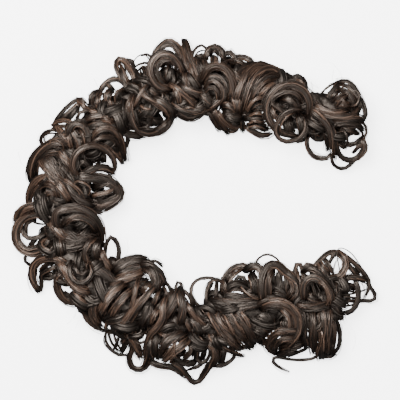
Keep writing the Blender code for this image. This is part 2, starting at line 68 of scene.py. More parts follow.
# Locks drawn as they lie. Each row holds the band's width, its shade (0 dark, 1 light) and the
# places that it runs through, from its root to its tip.
# A shade is partly the hair's own tone and partly painted light: the lightest are painted highlights on
# crests, the darkest painted shadow in hollows and gaps.
drawnBands = [
    # the left side, from the outer corner down
    (9, 0.45, (31, 182, 10), (30, 170, 16), (35, 157, 22), (45, 148, 28), (58, 143, 33), (72, 147, 34)),
    (5, 0.25, (36, 176, 14), (37, 166, 20), (42, 158, 26), (52, 153, 32), (64, 153, 35)),
    (15, 0.55, (42, 156, 28), (49, 165, 32), (57, 175, 35), (68, 187, 36)),
    (8, 0.62, (29, 207, 14), (30, 193, 20), (36, 182, 26), (46, 177, 32), (57, 181, 36), (65, 191, 38),
     (72, 202, 36)),
    (4, 0.5, (38, 207, 20), (36, 196, 24), (40, 187, 28), (48, 184, 32), (56, 189, 35), (60, 200, 35)),
    (5, 0.4, (44, 206, 24), (44, 197, 28), (50, 192, 32), (58, 196, 34)),
    (8, 0.7, (17, 223, 14), (18, 215, 18), (26, 208, 24), (38, 206, 28), (50, 210, 32)),
    (4, 0.1, (48, 232, 24), (38, 237, 22), (28, 238, 20), (22, 232, 18), (23, 225, 18)),
    (4, 0.35, (47, 241, 24), (38, 246, 20), (28, 249, 18), (20, 244, 15), (17, 236, 15)),
    (5, 0.6, (80, 178, 34), (73, 167, 38), (77, 154, 41), (88, 147, 41), (102, 148, 37), (112, 156, 31),
     (115, 167, 25), (110, 176, 22)),
    (7, 0.15, (82, 176, 32), (94, 169, 29), (105, 168, 25), (115, 174, 20)),
    (5, 0.3, (102, 139, 32), (112, 145, 26), (118, 153, 18), (122, 164, 8)),
    (4, 0.35, (108, 134, 32), (117, 141, 26), (122, 150, 18), (125, 161, 10)),
    (10, 0.3, (92, 187, 24), (106, 182, 26), (116, 187, 24), (119, 195, 20), (111, 202, 20), (100, 206, 22),
     (88, 201, 27)),
    (5, 0.5, (90, 196, 28), (102, 194, 27), (113, 190, 26), (119, 184, 24)),
    (10, 0.1, (76, 176, 34), (92, 177, 30), (108, 181, 26), (118, 190, 22)),
    (3, 0.7, (62, 178, 38), (72, 184, 38), (82, 194, 36), (84, 206, 34)),
    (9, 0.2, (62, 180, 34), (70, 192, 35), (82, 202, 34), (96, 206, 30)),
    (8, 0.25, (62, 232, 34), (56, 221, 38), (59, 211, 41), (72, 208, 42), (86, 211, 40), (97, 220, 35),
     (102, 232, 28), (103, 245, 20)),
    (7, 0.3, (62, 227, 38), (70, 219, 41), (82, 217, 41), (93, 222, 37), (99, 233, 31)),
    (9, 0.7, (49, 219, 30), (56, 228, 34), (63, 236, 35), (73, 243, 33)),
    (9, 0.28, (58, 234, 34), (72, 239, 35), (86, 237, 33), (99, 240, 28)),
    (8, 0.2, (50, 244, 32), (64, 248, 34), (78, 246, 35), (90, 240, 34)),
    (5, 0.6, (96, 237, 34), (88, 245, 37), (85, 256, 36), (91, 267, 32)),
    (8, 0.08, (99, 240, 34), (95, 250, 33), (98, 262, 30)),
    (4, 0.3, (105, 256, 18), (106, 244, 18), (111, 237, 18), (116, 241, 16), (119, 250, 14), (118, 260, 13),
     (115, 268, 14)),
    (7, 0.55, (99, 248, 30), (104, 258, 29), (112, 272, 26)),
    (3, 0.1, (28, 252, 14), (24, 259, 10), (27, 264, 9), (32, 265, 10)),
    (8, 0.5, (53, 227, 30), (48, 218, 27), (38, 214, 23), (25, 217, 19), (17, 227, 16), (16, 240, 13),
     (23, 250, 13), (34, 253, 16), (44, 248, 21), (50, 237, 27)),
    # the lower left corner
    (8, 0.7, (68, 264, 34), (56, 258, 30), (43, 259, 25), (34, 266, 18), (32, 278, 12), (37, 291, 6)),
    (4, 0.25, (36, 290, 5), (40, 291, 6), (41, 283, 9), (40, 275, 14), (48, 270, 20), (60, 265, 26)),
    (3.5, 0.05, (39, 278, 12), (50, 279, 14), (61, 272, 20)),
    (8, 0.5, (64, 272, 22), (57, 281, 14), (58, 291, 9), (64, 299, 6), (73, 302, 6), (81, 299, 11),
     (87, 291, 20)),
    (10, 0.62, (58, 260, 32), (65, 269, 34), (72, 280, 35), (80, 289, 35), (92, 293, 34)),
    (4, 0.4, (72, 260, 38), (70, 271, 40), (76, 281, 41), (86, 281, 41), (93, 272, 40), (90, 262, 38)),
    (4, 0.2, (76, 262, 37), (76, 270, 38), (81, 275, 38), (87, 272, 38), (87, 265, 37)),
    (10, 0.12, (90, 268, 34), (102, 272, 33), (112, 282, 30), (112, 292, 28)),
    (6, 0.08, (112, 272, 24), (119, 263, 24), (132, 258, 22), (144, 259, 20), (152, 266, 18)),
    (8, 0.1, (114, 274, 26), (124, 265, 26), (138, 261, 25), (150, 263, 22)),
    (6, 0.25, (116, 277, 28), (128, 271, 28), (142, 267, 26), (154, 268, 24)),
    (7, 0.72, (106, 286, 30), (118, 281, 32), (130, 277, 33), (146, 271, 31)),
    (8, 0.65, (126, 282, 36), (114, 291, 39), (106, 302, 39), (99, 313, 35)),
    (6, 0.6, (134, 288, 38), (123, 298, 41), (115, 308, 39), (110, 317, 35)),
    (6, 0.65, (141, 296, 40), (132, 310, 39), (122, 324, 35), (114, 331, 30)),
    (4, 0.75, (139, 278, 38), (136, 290, 41), (133, 303, 41), (130, 314, 38)),
    (7, 0.6, (90, 292, 28), (85, 304, 21), (86, 316, 14), (94, 325, 10), (104, 331, 9)),
    (9, 0.55, (98, 296, 34), (94, 308, 30), (96, 319, 24), (102, 326, 18)),
    (3, 0.6, (106, 332, 22), (107, 322, 28), (116, 317, 32), (126, 318, 32), (128, 322, 30)),
    (4, 0.45, (103, 330, 16), (113, 332, 20), (124, 328, 26), (132, 318, 32)),
    (5, 0.75, (130, 326, 30), (126, 335, 20), (121, 345, 9)),
    (4, 0.7, (136, 328, 30), (132, 340, 16), (129, 350, 7)),
    # the upper left corner
    (4, 0.3, (53, 124, 14), (62, 112, 16), (73, 102, 18), (81, 99, 20), (88, 105, 26)),
    (4, 0.25, (59, 123, 18), (69, 112, 20), (79, 104, 22), (84, 106, 26)),
    (5, 0.2, (66, 122, 22), (74, 113, 24), (80, 106, 26)),
    (5, 0.65, (76, 99, 22), (83, 105, 26), (88, 113, 30)),
    (3, 0.15, (97, 112, 30), (87, 111, 33), (79, 114, 33), (78, 119, 33), (82, 122, 32)),
    (3.5, 0.75, (51, 125, 18), (60, 121, 24), (70, 122, 30), (80, 128, 34)),
    (3, 0.7, (51, 129, 18), (61, 126, 25), (72, 128, 31)),
    (8, 0.6, (55, 124, 20), (60, 131, 25), (66, 139, 30), (69, 150, 31)),
    (5, 0.6, (66, 127, 32), (70, 138, 35), (71, 151, 33)),
    (3, 0.45, (61, 132, 24), (52, 130, 20), (44, 133, 16), (40, 139, 12), (42, 145, 10), (49, 149, 14)),
    (1.5, 0.3, (57, 134, 22), (49, 133, 18), (43, 137, 15), (45, 142, 16), (53, 144, 20), (61, 145, 26)),
    (6, 0.35, (70, 141, 34), (71, 129, 37), (78, 124, 39), (86, 129, 38), (88, 141, 36), (84, 152, 33)),
    (4, 0.1, (71, 125, 36), (81, 121, 37), (91, 126, 35)),
    (3, 0.65, (79, 129, 40), (84, 138, 40), (84, 149, 36)),
    (6, 0.5, (92, 143, 34), (97, 133, 39), (106, 129, 39), (115, 132, 35), (122, 142, 26), (124, 152, 15),
     (126, 161, 8)),
    (5, 0.45, (89, 147, 36), (99, 139, 39), (110, 138, 35), (118, 144, 26), (123, 155, 14)),
    (4, 0.55, (110, 148, 26), (117, 155, 18), (123, 164, 9)),
    (5, 0.12, (102, 143, 30), (113, 146, 26), (121, 153, 18)),
    (4, 0.08, (116, 134, 28), (124, 133, 22), (128, 138, 16), (126, 145, 13), (122, 149, 14)),
    (6, 0.35, (84, 121, 37), (96, 117, 39), (110, 117, 38), (125, 122, 33)),
    (7, 0.12, (86, 129, 36), (100, 125, 38), (116, 128, 35), (129, 134, 26)),
    (5, 0.68, (99, 121, 40), (107, 120, 42), (115, 124, 40)),
    (3, 0.15, (90, 105, 20), (90, 96, 17), (95, 91, 15), (102, 91, 20)),
    (6, 0.58, (101, 91, 27), (98, 100, 31), (99, 110, 33)),
    (4, 0.6, (86, 107, 30), (93, 112, 33), (105, 113, 34)),
    (5, 0.3, (104, 96, 32), (110, 104, 35), (112, 113, 35)),
    (7, 0.12, (112, 100, 34), (120, 108, 36), (124, 118, 35)),
    (5, 0.28, (98, 96, 20), (103, 86, 20), (110, 80, 20), (118, 79, 22), (125, 84, 27), (131, 93, 31)),
    (7, 0.4, (106, 106, 34), (108, 96, 35), (112, 89, 33)),
    (4, 0.42, (126, 92, 34), (120, 91, 37), (116, 97, 37), (118, 106, 34)),
    (5, 0.5, (129, 90, 27), (121, 77, 22), (116, 66, 18), (118, 59, 14), (124, 61, 17), (131, 72, 24),
     (137, 86, 31)),
    (6, 0.3, (130, 88, 28), (124, 76, 24), (120, 65, 19)),
    (2.5, 0.85, (119, 62, 20), (124, 72, 26), (130, 84, 31)),
    (4, 0.35, (122, 61, 16), (130, 60, 14), (133, 65, 16), (135, 75, 23), (140, 86, 31)),
    (5, 0.2, (135, 69, 20), (139, 78, 27), (143, 88, 33)),
    (1.8, 0.1, (141, 55, 9), (147, 54, 11), (153, 58, 18)),
    (1.8, 0.1, (134, 67, 13), (141, 63, 11), (149, 63, 14), (155, 67, 22)),
    (1.6, 0.15, (140, 69, 14), (142, 76, 20), (145, 84, 26)),
    (2.5, 0.25, (138, 70, 16), (144, 66, 14), (149, 70, 18), (149, 80, 27)),
    # the crest and the curls beside it
    (5, 0.65, (141, 86, 37), (144, 95, 42), (152, 101, 43), (163, 107, 40)),
    (4, 0.5, (151, 83, 38), (143, 92, 41), (138, 101, 40), (133, 111, 37)),
    (5, 0.15, (146, 86, 36), (153, 92, 37), (161, 98, 37)),
    (6, 0.35, (136, 92, 35), (130, 104, 39), (131, 118, 39), (137, 129, 34), (148, 134, 28), (160, 131, 22),
     (169, 123, 20), (172, 112, 26)),
    (3, 0.62, (134, 95, 40), (130, 106, 42), (132, 118, 40)),
    (8, 0.1, (140, 104, 35), (146, 113, 35), (155, 116, 33)),
    (2.5, 0.5, (139, 105, 38), (146, 110, 40), (156, 110, 39)),
    (5, 0.2, (140, 128, 29), (152, 131, 25), (163, 126, 22), (169, 116, 24)),
    (3, 0.15, (146, 134, 20), (159, 133, 16), (169, 126, 15), (174, 115, 22)),
    (7, 0.12, (118, 128, 30), (131, 135, 24), (146, 135, 20)),
    (9, 0.32, (150, 98, 39), (160, 104, 41), (169, 110, 38), (173, 120, 29)),
    (6, 0.5, (152, 60, 26), (156, 52, 22), (162, 45, 20), (169, 41, 18), (176, 45, 20), (181, 52, 25),
     (185, 64, 31), (191, 77, 34)),
    (4, 0.35, (159, 54, 27), (165, 46, 24), (173, 46, 24), (178, 55, 27), (183, 68, 32)),
    (8, 0.5, (173, 90, 38), (160, 87, 41), (152, 77, 43), (152, 64, 43), (160, 56, 43), (170, 56, 43),
     (178, 64, 41), (183, 76, 38)),
    (4, 0.35, (168, 86, 40), (160, 80, 42), (157, 70, 42), (162, 62, 42), (171, 61, 41), (177, 70, 38)),
    (8, 0.05, (165, 84, 34), (168, 75, 32), (170, 66, 34)),
    (8, 0.5, (184, 39, 18), (187, 49, 23), (190, 61, 29), (194, 73, 33), (199, 86, 34)),
    (1.6, 0.95, (189, 62, 35), (192, 72, 37), (197, 83, 38)),
    (6, 0.25, (184, 70, 35), (186, 82, 38), (192, 94, 38)),
    (4, 0.68, (169, 84, 41), (178, 91, 43), (188, 99, 42), (197, 109, 38)),
    (5, 0.62, (173, 85, 42), (178, 96, 43), (180, 107, 40)),
    (9, 0.12, (179, 84, 38), (190, 92, 39), (202, 99, 38)),
    (9, 0.22, (170, 107, 34), (180, 114, 30), (191, 117, 27), (201, 112, 29), (208, 104, 34)),
    (9, 0.18, (172, 100, 38), (184, 109, 37), (196, 111, 36), (208, 103, 37)),
    (3, 0.5, (180, 112, 38), (189, 108, 40), (197, 111, 38)),
    (2.2, 0.2, (191, 59, 20), (195, 49, 16), (202, 45, 14), (207, 50, 17), (208, 60, 23)),
    (1.3, 0.35, (193, 61, 22), (198, 52, 18), (205, 50, 18)),
    (6, 0.3, (205, 61, 25), (208, 51, 21), (214, 47, 18), (221, 51, 21), (224, 61, 26)),
    (8, 0.55, (213, 56, 26), (215, 64, 32), (218, 73, 35)),
    (7, 0.3, (202, 59, 28), (206, 68, 32), (204, 79, 34)),
    (8, 0.12, (195, 58, 26), (199, 69, 31), (204, 80, 33)),
    (8, 0.55, (201, 82, 38), (207, 71, 42), (216, 67, 44), (226, 71, 44), (232, 82, 42), (233, 93, 39),
     (227, 104, 34)),
    (6, 0.08, (204, 85, 37), (212, 77, 39), (222, 80, 39), (227, 90, 38), (226, 102, 35)),
    (5, 0.45, (204, 90, 39), (211, 81, 42), (220, 86, 43), (223, 96, 41), (217, 106, 38)),
    (4, 0.4, (203, 97, 39), (210, 88, 42), (217, 93, 43), (217, 103, 40)),
    (10, 0.1, (197, 93, 37), (206, 99, 38), (214, 108, 36)),
    (5, 0.2, (222, 63, 25), (224, 56, 21), (229, 52, 19), (234, 57, 21), (234, 66, 26)),
    (5, 0.25, (232, 67, 23), (234, 58, 19), (243, 57, 17), (252, 62, 20), (251, 71, 28)),
    (6, 0.3, (229, 60, 24), (239, 63, 25), (248, 68, 28)),
    (9, 0.48, (233, 93, 38), (236, 104, 38), (234, 116, 34)),
    (6, 0.65, (220, 105, 37), (229, 106, 39), (237, 112, 37)),
    # the fan of combed waves
    (8, 0.5, (282, 79, 28), (276, 71, 29), (268, 69, 32), (258, 74, 37), (250, 86, 41), (246, 100, 40),
     (243, 113, 35)),
    (8, 0.5, (283, 83, 31), (275, 77, 35), (265, 80, 40), (256, 90, 42), (250, 103, 40)),
    (7, 0.45, (282, 89, 34), (273, 86, 39), (264, 92, 42), (257, 101, 40)),
    (8, 0.5, (271, 67, 27), (260, 65, 28), (250, 70, 33), (243, 80, 39), (238, 94, 40), (236, 107, 37)),
    (8, 0.45, (256, 64, 26), (246, 68, 31), (238, 76, 37), (233, 88, 39), (234, 103, 38)),
    (6, 0.55, (226, 70, 36), (236, 76, 40), (243, 85, 40)),
    (8, 0.1, (240, 84, 38), (243, 95, 38), (240, 106, 36)),
    (1.8, 0.85, (277, 83, 40), (266, 90, 44), (257, 100, 42)),
    (1.8, 0.85, (280, 91, 38), (271, 93, 42), (261, 99, 42)),
    (1.8, 0.8, (273, 78, 39), (262, 86, 43), (253, 98, 42)),
    (1.8, 0.75, (262, 72, 38), (253, 81, 42), (247, 94, 42)),
    (7, 0.45, (280, 87, 28), (288, 84, 28), (297, 83, 26), (302, 87, 27), (304, 95, 31)),
    (6, 0.4, (281, 90, 33), (290, 86, 33), (300, 89, 33)),
    (3.5, 0.7, (293, 80, 29), (301, 83, 30), (304, 92, 30)),
    (9, 0.03, (247, 110, 34), (256, 105, 34), (267, 106, 33)),
    (3, 0.8, (246, 114, 37), (250, 105, 41), (257, 99, 43), (267, 98, 41)),
    (2.5, 0.6, (247, 117, 34), (256, 114, 37), (266, 116, 34)),
    (3, 0.6, (247, 125, 30), (255, 121, 33), (265, 123, 31)),
    (6, 0.1, (244, 120, 32), (254, 118, 32), (266, 120, 32)),
    (3.5, 0.5, (246, 129, 27), (255, 127, 29), (266, 131, 27)),
    (6, 0.35, (244, 126, 27), (254, 132, 22), (264, 136, 18), (273, 133, 19)),
    (5, 0.35, (208, 108, 34), (213, 120, 26), (221, 131, 13)),
    (5, 0.5, (212, 108, 37), (219, 120, 29), (228, 132, 13)),
    (5, 0.45, (217, 111, 36), (225, 122, 28), (236, 128, 19), (243, 123, 23)),
    (10, 0.14, (223, 112, 35), (232, 117, 34), (243, 115, 33)),
    (4, 0.4, (240, 117, 30), (243, 125, 22), (242, 132, 12)),
    # the two rings of the upper arm
    (7, 0.5, (298, 137, 33), (281, 133, 36), (269, 121, 39), (266, 107, 41), (271, 95, 43), (281, 87, 44),
     (293, 86, 44), (304, 93, 43), (309, 105, 40), (307, 118, 36)),
    (4, 0.45, (291, 119, 40), (279, 110, 42), (271, 103, 42), (276, 97, 44), (286, 93, 45), (296, 96, 44),
     (301, 105, 41)),
    (4, 0.5, (270, 105, 41), (274, 116, 41), (282, 125, 38)),
    (9, 0.05, (274, 100, 34), (279, 108, 33), (286, 113, 33)),
    (8, 0.35, (279, 100, 38), (288, 99, 40), (296, 105, 38), (298, 116, 35)),
    (3.5, 0.4, (303, 111, 43), (295, 110, 46), (285, 114, 46), (277, 123, 44), (275, 133, 42),
     (280, 140, 39), (289, 142, 37), (299, 139, 36), (305, 130, 37), (304, 117, 39)),
    (2, 0.55, (295, 113, 45), (287, 117, 46), (280, 126, 44), (279, 136, 40)),
    (9, 0.12, (288, 116, 38), (287, 126, 38), (292, 136, 33)),
    (8, 0.15, (298, 114, 38), (301, 126, 36), (302, 139, 29)),
    (4, 0.3, (290, 135, 28), (297, 141, 24), (305, 139, 22)),
    (7, 0.3, (305, 95, 33), (312, 98, 33), (318, 105, 33), (322, 114, 33)),
    # the upper free end
    (5, 0.15, (327, 105, 28), (329, 95, 26), (335, 88, 24), (341, 81, 22)),
    (4.5, 0.15, (337, 82, 22), (346, 81, 22), (353, 86, 22), (359, 96, 22), (364, 108, 24), (365, 116, 24),
     (361, 123, 25)),
    (4, 0.45, (339, 84, 25), (348, 87, 27), (355, 95, 29), (359, 104, 29), (357, 115, 29)),
    (5, 0.55, (337, 89, 28), (345, 92, 32), (352, 100, 33), (354, 111, 31)),
    (6, 0.5, (334, 106, 32), (340, 97, 34), (348, 96, 34)),
    (6, 0.45, (332, 102, 31), (341, 104, 35), (351, 106, 34)),
    (2, 0.7, (335, 108, 36), (341, 100, 38), (349, 95, 37)),
    (2, 0.65, (339, 92, 34), (343, 102, 38), (349, 110, 37)),
    (5, 0.55, (304, 105, 35), (316, 111, 38), (328, 117, 40), (342, 118, 40), (354, 114, 37),
     (359, 106, 32)),
    (5, 0.65, (311, 103, 34), (324, 110, 38), (336, 113, 39), (349, 111, 37)),
    (6, 0.4, (328, 119, 38), (342, 119, 39), (354, 118, 37), (365, 119, 29)),
    (7, 0.15, (331, 124, 36), (345, 124, 36), (357, 125, 32), (364, 131, 26)),
    (6, 0.05, (337, 130, 33), (347, 130, 32), (357, 131, 29)),
    (8, 0.35, (308, 108, 37), (320, 117, 39), (328, 126, 38), (332, 138, 33), (334, 150, 26),
     (333, 159, 21)),
    (3, 0.78, (310, 108, 40), (320, 115, 42), (327, 124, 41)),
    (6, 0.08, (314, 116, 34), (322, 127, 32), (327, 138, 28), (328, 151, 21)),
    (4.6, 0.25, (307, 134, 24), (307, 146, 20), (311, 154, 17), (318, 158, 15), (327, 158, 17),
     (333, 153, 22)),
    (1.6, 0.55, (311, 133, 24), (307, 143, 21), (310, 150, 18), (316, 156, 16), (326, 158, 17)),
    (5, 0.3, (336, 138, 25), (337, 150, 20), (343, 158, 16), (352, 160, 14), (360, 155, 16), (364, 146, 20),
     (362, 137, 25)),
    (5, 0.6, (360, 138, 26), (365, 146, 21), (361, 155, 17), (353, 160, 15)),
    (2.5, 0.1, (339, 136, 25), (345, 143, 22), (354, 143, 22), (362, 136, 25)),
    (1.5, 0.15, (339, 140, 24), (346, 146, 20), (355, 145, 20), (363, 139, 24)),
    (3, 0.15, (331, 154, 22), (333, 163, 14), (339, 168, 8), (346, 168, 8), (354, 161, 11), (359, 155, 16)),
    (2, 0.15, (360, 119, 26), (366, 127, 21), (366, 135, 19), (361, 142, 21)),
    (2, 0.2, (355, 125, 27), (361, 130, 24), (363, 138, 22)),
    # the lower side, left half
    (11, 0.2, (139, 267, 28), (149, 267, 32), (156, 272, 33), (161, 280, 29), (157, 289, 27)),
    (9, 0.32, (144, 267, 34), (152, 272, 38), (156, 282, 38), (151, 294, 36)),
    (3, 0.1, (149, 263, 25), (156, 261, 24), (163, 267, 25)),
    (6, 0.5, (158, 283, 38), (148, 294, 42), (140, 304, 42), (132, 316, 37), (124, 329, 28)),
    (8, 0.08, (151, 297, 38), (146, 312, 38), (141, 328, 34)),
    (4, 0.7, (152, 281, 39), (146, 287, 41), (141, 293, 40)),
    (5, 0.5, (161, 288, 36), (155, 300, 37), (150, 308, 36)),
    (6, 0.68, (167, 295, 38), (163, 306, 43), (163, 316, 43), (157, 327, 40), (150, 335, 36),
     (147, 346, 27), (146, 357, 16), (142, 367, 9)),
    (5, 0.6, (160, 306, 38), (154, 315, 39), (149, 325, 36)),
    (8, 0.1, (171, 319, 34), (164, 330, 34), (158, 342, 30)),
    (3, 0.1, (162, 279, 27), (169, 286, 24), (172, 295, 27)),
    (4, 0.4, (163, 286, 29), (167, 294, 30), (167, 303, 32)),
    (2.5, 0.15, (176, 296, 26), (176, 286, 21), (179, 281, 18), (182, 287, 21), (183, 297, 26)),
    (7, 0.35, (181, 287, 36), (176, 297, 41), (170, 308, 42), (164, 320, 38)),
    (7, 0.5, (180, 288, 38), (182, 301, 44), (182, 314, 43), (177, 327, 38)),
    (6, 0.45, (172, 288, 34), (172, 299, 39), (174, 310, 39)),
    (4, 0.3, (182, 289, 35), (190, 296, 33), (194, 308, 30)),
    (5, 0.62, (183, 300, 38), (190, 309, 40), (198, 318, 38), (207, 328, 34)),
    (5, 0.3, (182, 311, 39), (188, 322, 39), (193, 332, 36)),
    (3, 0.12, (187, 301, 31), (193, 311, 31), (203, 316, 31)),
    (11, 0.06, (171, 313, 35), (176, 324, 36), (185, 334, 34)),
    (11, 0.06, (187, 315, 34), (196, 324, 35), (202, 336, 32)),
    (2.6, 0.15, (208, 312, 24), (197, 304, 22), (191, 294, 21), (193, 284, 19), (200, 279, 18),
     (210, 278, 19), (220, 280, 24)),
    (3, 0.12, (208, 308, 29), (206, 296, 27), (208, 285, 26), (213, 280, 26), (220, 280, 26),
     (225, 286, 27)),
    (4, 0.08, (217, 281, 27), (216, 292, 29), (215, 303, 30)),
    (5, 0.08, (205, 299, 27), (212, 306, 30), (222, 309, 32)),
    (5, 0.62, (208, 309, 32), (212, 318, 36), (217, 326, 36), (225, 340, 30)),
    (6, 0.35, (136, 337, 26), (132, 350, 16), (129, 360, 9), (132, 368, 6), (140, 370, 6), (147, 364, 9),
     (150, 351, 18), (150, 337, 28)),
    (8, 0.6, (127, 329, 28), (134, 340, 23), (138, 350, 17), (142, 359, 12)),
    (8, 0.5, (186, 331, 38), (174, 336, 41), (165, 344, 41), (161, 357, 33)),
    (8, 0.62, (190, 338, 36), (180, 346, 40), (170, 353, 37), (162, 361, 27)),
    (6, 0.35, (153, 335, 35), (151, 348, 33), (154, 360, 25)),
    (6, 0.15, (159, 332, 36), (156, 346, 35), (159, 360, 27)),
    (5, 0.5, (190, 341, 34), (190, 352, 30), (183, 360, 26)),
    (2.5, 0.85, (178, 339, 42), (169, 349, 42), (162, 358, 35)),
    (3, 0.5, (158, 331, 37), (167, 335, 39), (177, 332, 37)),
    (6, 0.25, (148, 361, 18), (160, 366, 16), (170, 367, 16), (178, 371, 13), (187, 378, 9)),
    (5, 0.4, (170, 361, 22), (181, 368, 16), (187, 376, 10), (193, 383, 6), (199, 382, 6), (205, 374, 9),
     (210, 366, 16), (215, 353, 23)),
    (2.5, 0.15, (187, 371, 10), (196, 367, 12), (204, 363, 16)),
    (1.5, 0.3, (198, 380, 8), (203, 371, 10), (208, 362, 16)),
    (3, 0.15, (202, 346, 24), (197, 356, 20), (200, 363, 18), (206, 361, 18), (210, 352, 22),
     (207, 343, 27)),
    (8, 0.35, (206, 341, 31), (214, 348, 27), (215, 358, 22), (209, 368, 14)),
    (3.5, 0.15, (212, 366, 16), (222, 366, 12), (230, 362, 10), (235, 355, 12), (231, 347, 19)),
    (4, 0.3, (218, 343, 27), (228, 350, 21), (236, 354, 15), (245, 357, 9)),
    (5, 0.55, (197, 336, 32), (203, 344, 31), (204, 352, 26)),
    (5, 0.6, (209, 332, 33), (214, 341, 31), (222, 350, 23)),
    (8, 0.12, (189, 333, 32), (196, 346, 28), (195, 359, 21)),
    # the lower side, right half
    (5, 0.45, (221, 296, 25), (223, 283, 24), (228, 273, 22), (236, 267, 20), (246, 267, 21),
     (253, 275, 24)),
    (3.5, 0.55, (230, 294, 29), (230, 281, 28), (235, 274, 26), (244, 268, 25)),
    (3, 0.1, (232, 286, 25), (238, 277, 23), (244, 278, 23), (248, 288, 25)),
    (4, 0.62, (222, 277, 27), (225, 286, 30), (228, 296, 32)),
    (8, 0.08, (244, 272, 25), (252, 266, 27), (260, 268, 29), (263, 278, 31), (262, 292, 33)),
    (9, 0.1, (251, 273, 28), (255, 284, 31), (257, 297, 33)),
    (2, 0.65, (237, 281, 30), (244, 290, 35), (252, 296, 38), (263, 300, 38)),
    (9, 0.1, (210, 300, 30), (226, 303, 35), (242, 303, 37), (258, 302, 37)),
    (7, 0.22, (212, 306, 31), (230, 308, 36), (246, 306, 38), (263, 304, 39)),
    (8, 0.08, (222, 296, 32), (238, 297, 35), (253, 299, 36)),
    (8, 0.55, (264, 304, 37), (262, 289, 41), (263, 276, 41), (268, 266, 39), (277, 265, 37),
     (284, 271, 35), (291, 277, 33), (294, 288, 33), (287, 299, 35)),
    (4, 0.6, (269, 301, 38), (269, 288, 42), (268, 277, 42), (274, 268, 39)),
    (7, 0.05, (275, 302, 30), (279, 290, 29), (279, 278, 29), (280, 267, 33)),
    (5, 0.1, (279, 267, 34), (288, 274, 35), (297, 283, 35), (297, 293, 35), (289, 302, 35)),
    (4, 0.5, (254, 307, 38), (264, 300, 42), (274, 300, 42), (286, 305, 41)),
    (3, 0.6, (261, 309, 38), (272, 306, 41), (283, 309, 41)),
    (5, 0.35, (260, 296, 38), (272, 297, 40), (282, 302, 40)),
    (10, 0.5, (212, 310, 30), (220, 324, 35), (230, 336, 34), (241, 348, 24)),
    (10, 0.55, (220, 307, 34), (230, 318, 39), (238, 330, 38), (248, 344, 27)),
    (9, 0.35, (231, 307, 36), (240, 316, 39), (246, 326, 38), (255, 342, 27)),
    (3, 0.88, (223, 312, 39), (229, 324, 42), (237, 337, 38)),
    (2, 0.8, (229, 309, 39), (237, 324, 42), (245, 336, 36)),
    (5, 0.6, (237, 309, 39), (245, 318, 41), (251, 330, 37)),
    (8, 0.12, (220, 333, 28), (232, 344, 22), (241, 351, 13)),
    (9, 0.12, (243, 335, 28), (250, 343, 20), (254, 348, 13)),
    (9, 0.08, (254, 331, 28), (262, 343, 17)),
    (11, 0.5, (259, 307, 38), (274, 303, 43), (286, 306, 43), (295, 316, 42), (296, 328, 40),
     (290, 339, 35), (279, 348, 26)),
    (5, 0.72, (278, 307, 43), (287, 316, 45), (288, 326, 44), (281, 334, 41)),
    (6, 0.25, (288, 303, 38), (299, 314, 37), (302, 328, 35), (298, 344, 28)),
    (13, 0.02, (256, 311, 32), (266, 316, 31), (276, 323, 31)),
    (13, 0.02, (253, 322, 32), (262, 328, 31), (272, 331, 31)),
    (7, 0.5, (302, 331, 38), (290, 330, 42), (279, 331, 42), (271, 338, 37), (269, 347, 28),
     (277, 354, 18)),
    (4, 0.78, (270, 335, 42), (279, 331, 44), (289, 334, 43)),
    (6, 0.35, (298, 338, 37), (285, 338, 39), (276, 343, 35), (274, 352, 25)),
    (8, 0.2, (304, 343, 31), (290, 348, 28), (277, 353, 19)),
    (4, 0.12, (266, 342, 23), (273, 352, 14), (284, 355, 12), (298, 351, 15)),
    # the lower free end
    (4, 0.4, (297, 302, 34), (296, 287, 33), (295, 275, 29), (296, 265, 24), (300, 264, 24), (303, 275, 29),
     (303, 288, 33), (304, 302, 34)),
    (2, 0.75, (297, 268, 29), (299, 280, 34), (302, 294, 35)),
    (2.5, 0.15, (287, 273, 29), (293, 272, 28), (296, 280, 30)),
    (7, 0.4, (304, 302, 36), (303, 289, 39), (306, 280, 41), (313, 277, 41), (322, 281, 41), (329, 291, 39),
     (330, 303, 34), (324, 311, 32)),
    (4, 0.68, (315, 277, 42), (324, 285, 44), (329, 297, 42), (326, 308, 36)),
    (6, 0.35, (301, 273, 34), (309, 268, 35), (317, 272, 37), (325, 280, 37), (331, 292, 34)),
    (4, 0.1, (304, 271, 30), (305, 265, 26), (311, 265, 26), (317, 271, 29)),
    (10, 0.04, (305, 293, 34), (312, 300, 33), (321, 299, 33)),
    (8, 0.08, (294, 304, 36), (308, 307, 37), (322, 306, 35), (334, 302, 30)),
    (4.5, 0.4, (309, 272, 27), (319, 261, 24), (327, 254, 22), (334, 252, 20), (341, 256, 22),
     (345, 263, 24), (342, 273, 27), (334, 281, 29)),
    (6, 0.6, (337, 251, 24), (344, 258, 27), (345, 267, 27), (340, 275, 29), (331, 280, 30)),
    (8, 0.3, (317, 261, 26), (322, 269, 29), (329, 278, 31)),
    (3, 0.1, (324, 257, 26), (330, 266, 27), (334, 276, 29)),
    (1.8, 0.2, (328, 264, 27), (332, 258, 25), (337, 255, 24)),
    (4, 0.15, (329, 263, 26), (336, 251, 20), (344, 255, 18), (354, 263, 16), (363, 272, 14),
     (369, 282, 12), (368, 291, 11), (364, 299, 10)),
    (5, 0.08, (344, 261, 20), (352, 269, 18), (360, 278, 16)),
    (1.6, 0.6, (343, 256, 22), (356, 267, 19), (367, 280, 14)),
    (3.5, 0.2, (367, 283, 12), (373, 290, 10), (376, 297, 8), (373, 301, 8), (362, 301, 10),
     (352, 300, 14)),
    (6, 0.45, (336, 283, 23), (348, 278, 23), (357, 278, 21), (368, 282, 15)),
    (4.5, 0.25, (354, 278, 23), (358, 289, 20), (358, 301, 18), (354, 309, 16), (347, 313, 16),
     (338, 311, 18)),
    (3, 0.4, (338, 287, 23), (349, 284, 23), (358, 287, 20)),
    (1.4, 0.15, (337, 290, 24), (348, 291, 22), (358, 292, 20)),
    (1.4, 0.15, (337, 295, 24), (352, 294, 20), (369, 289, 13)),
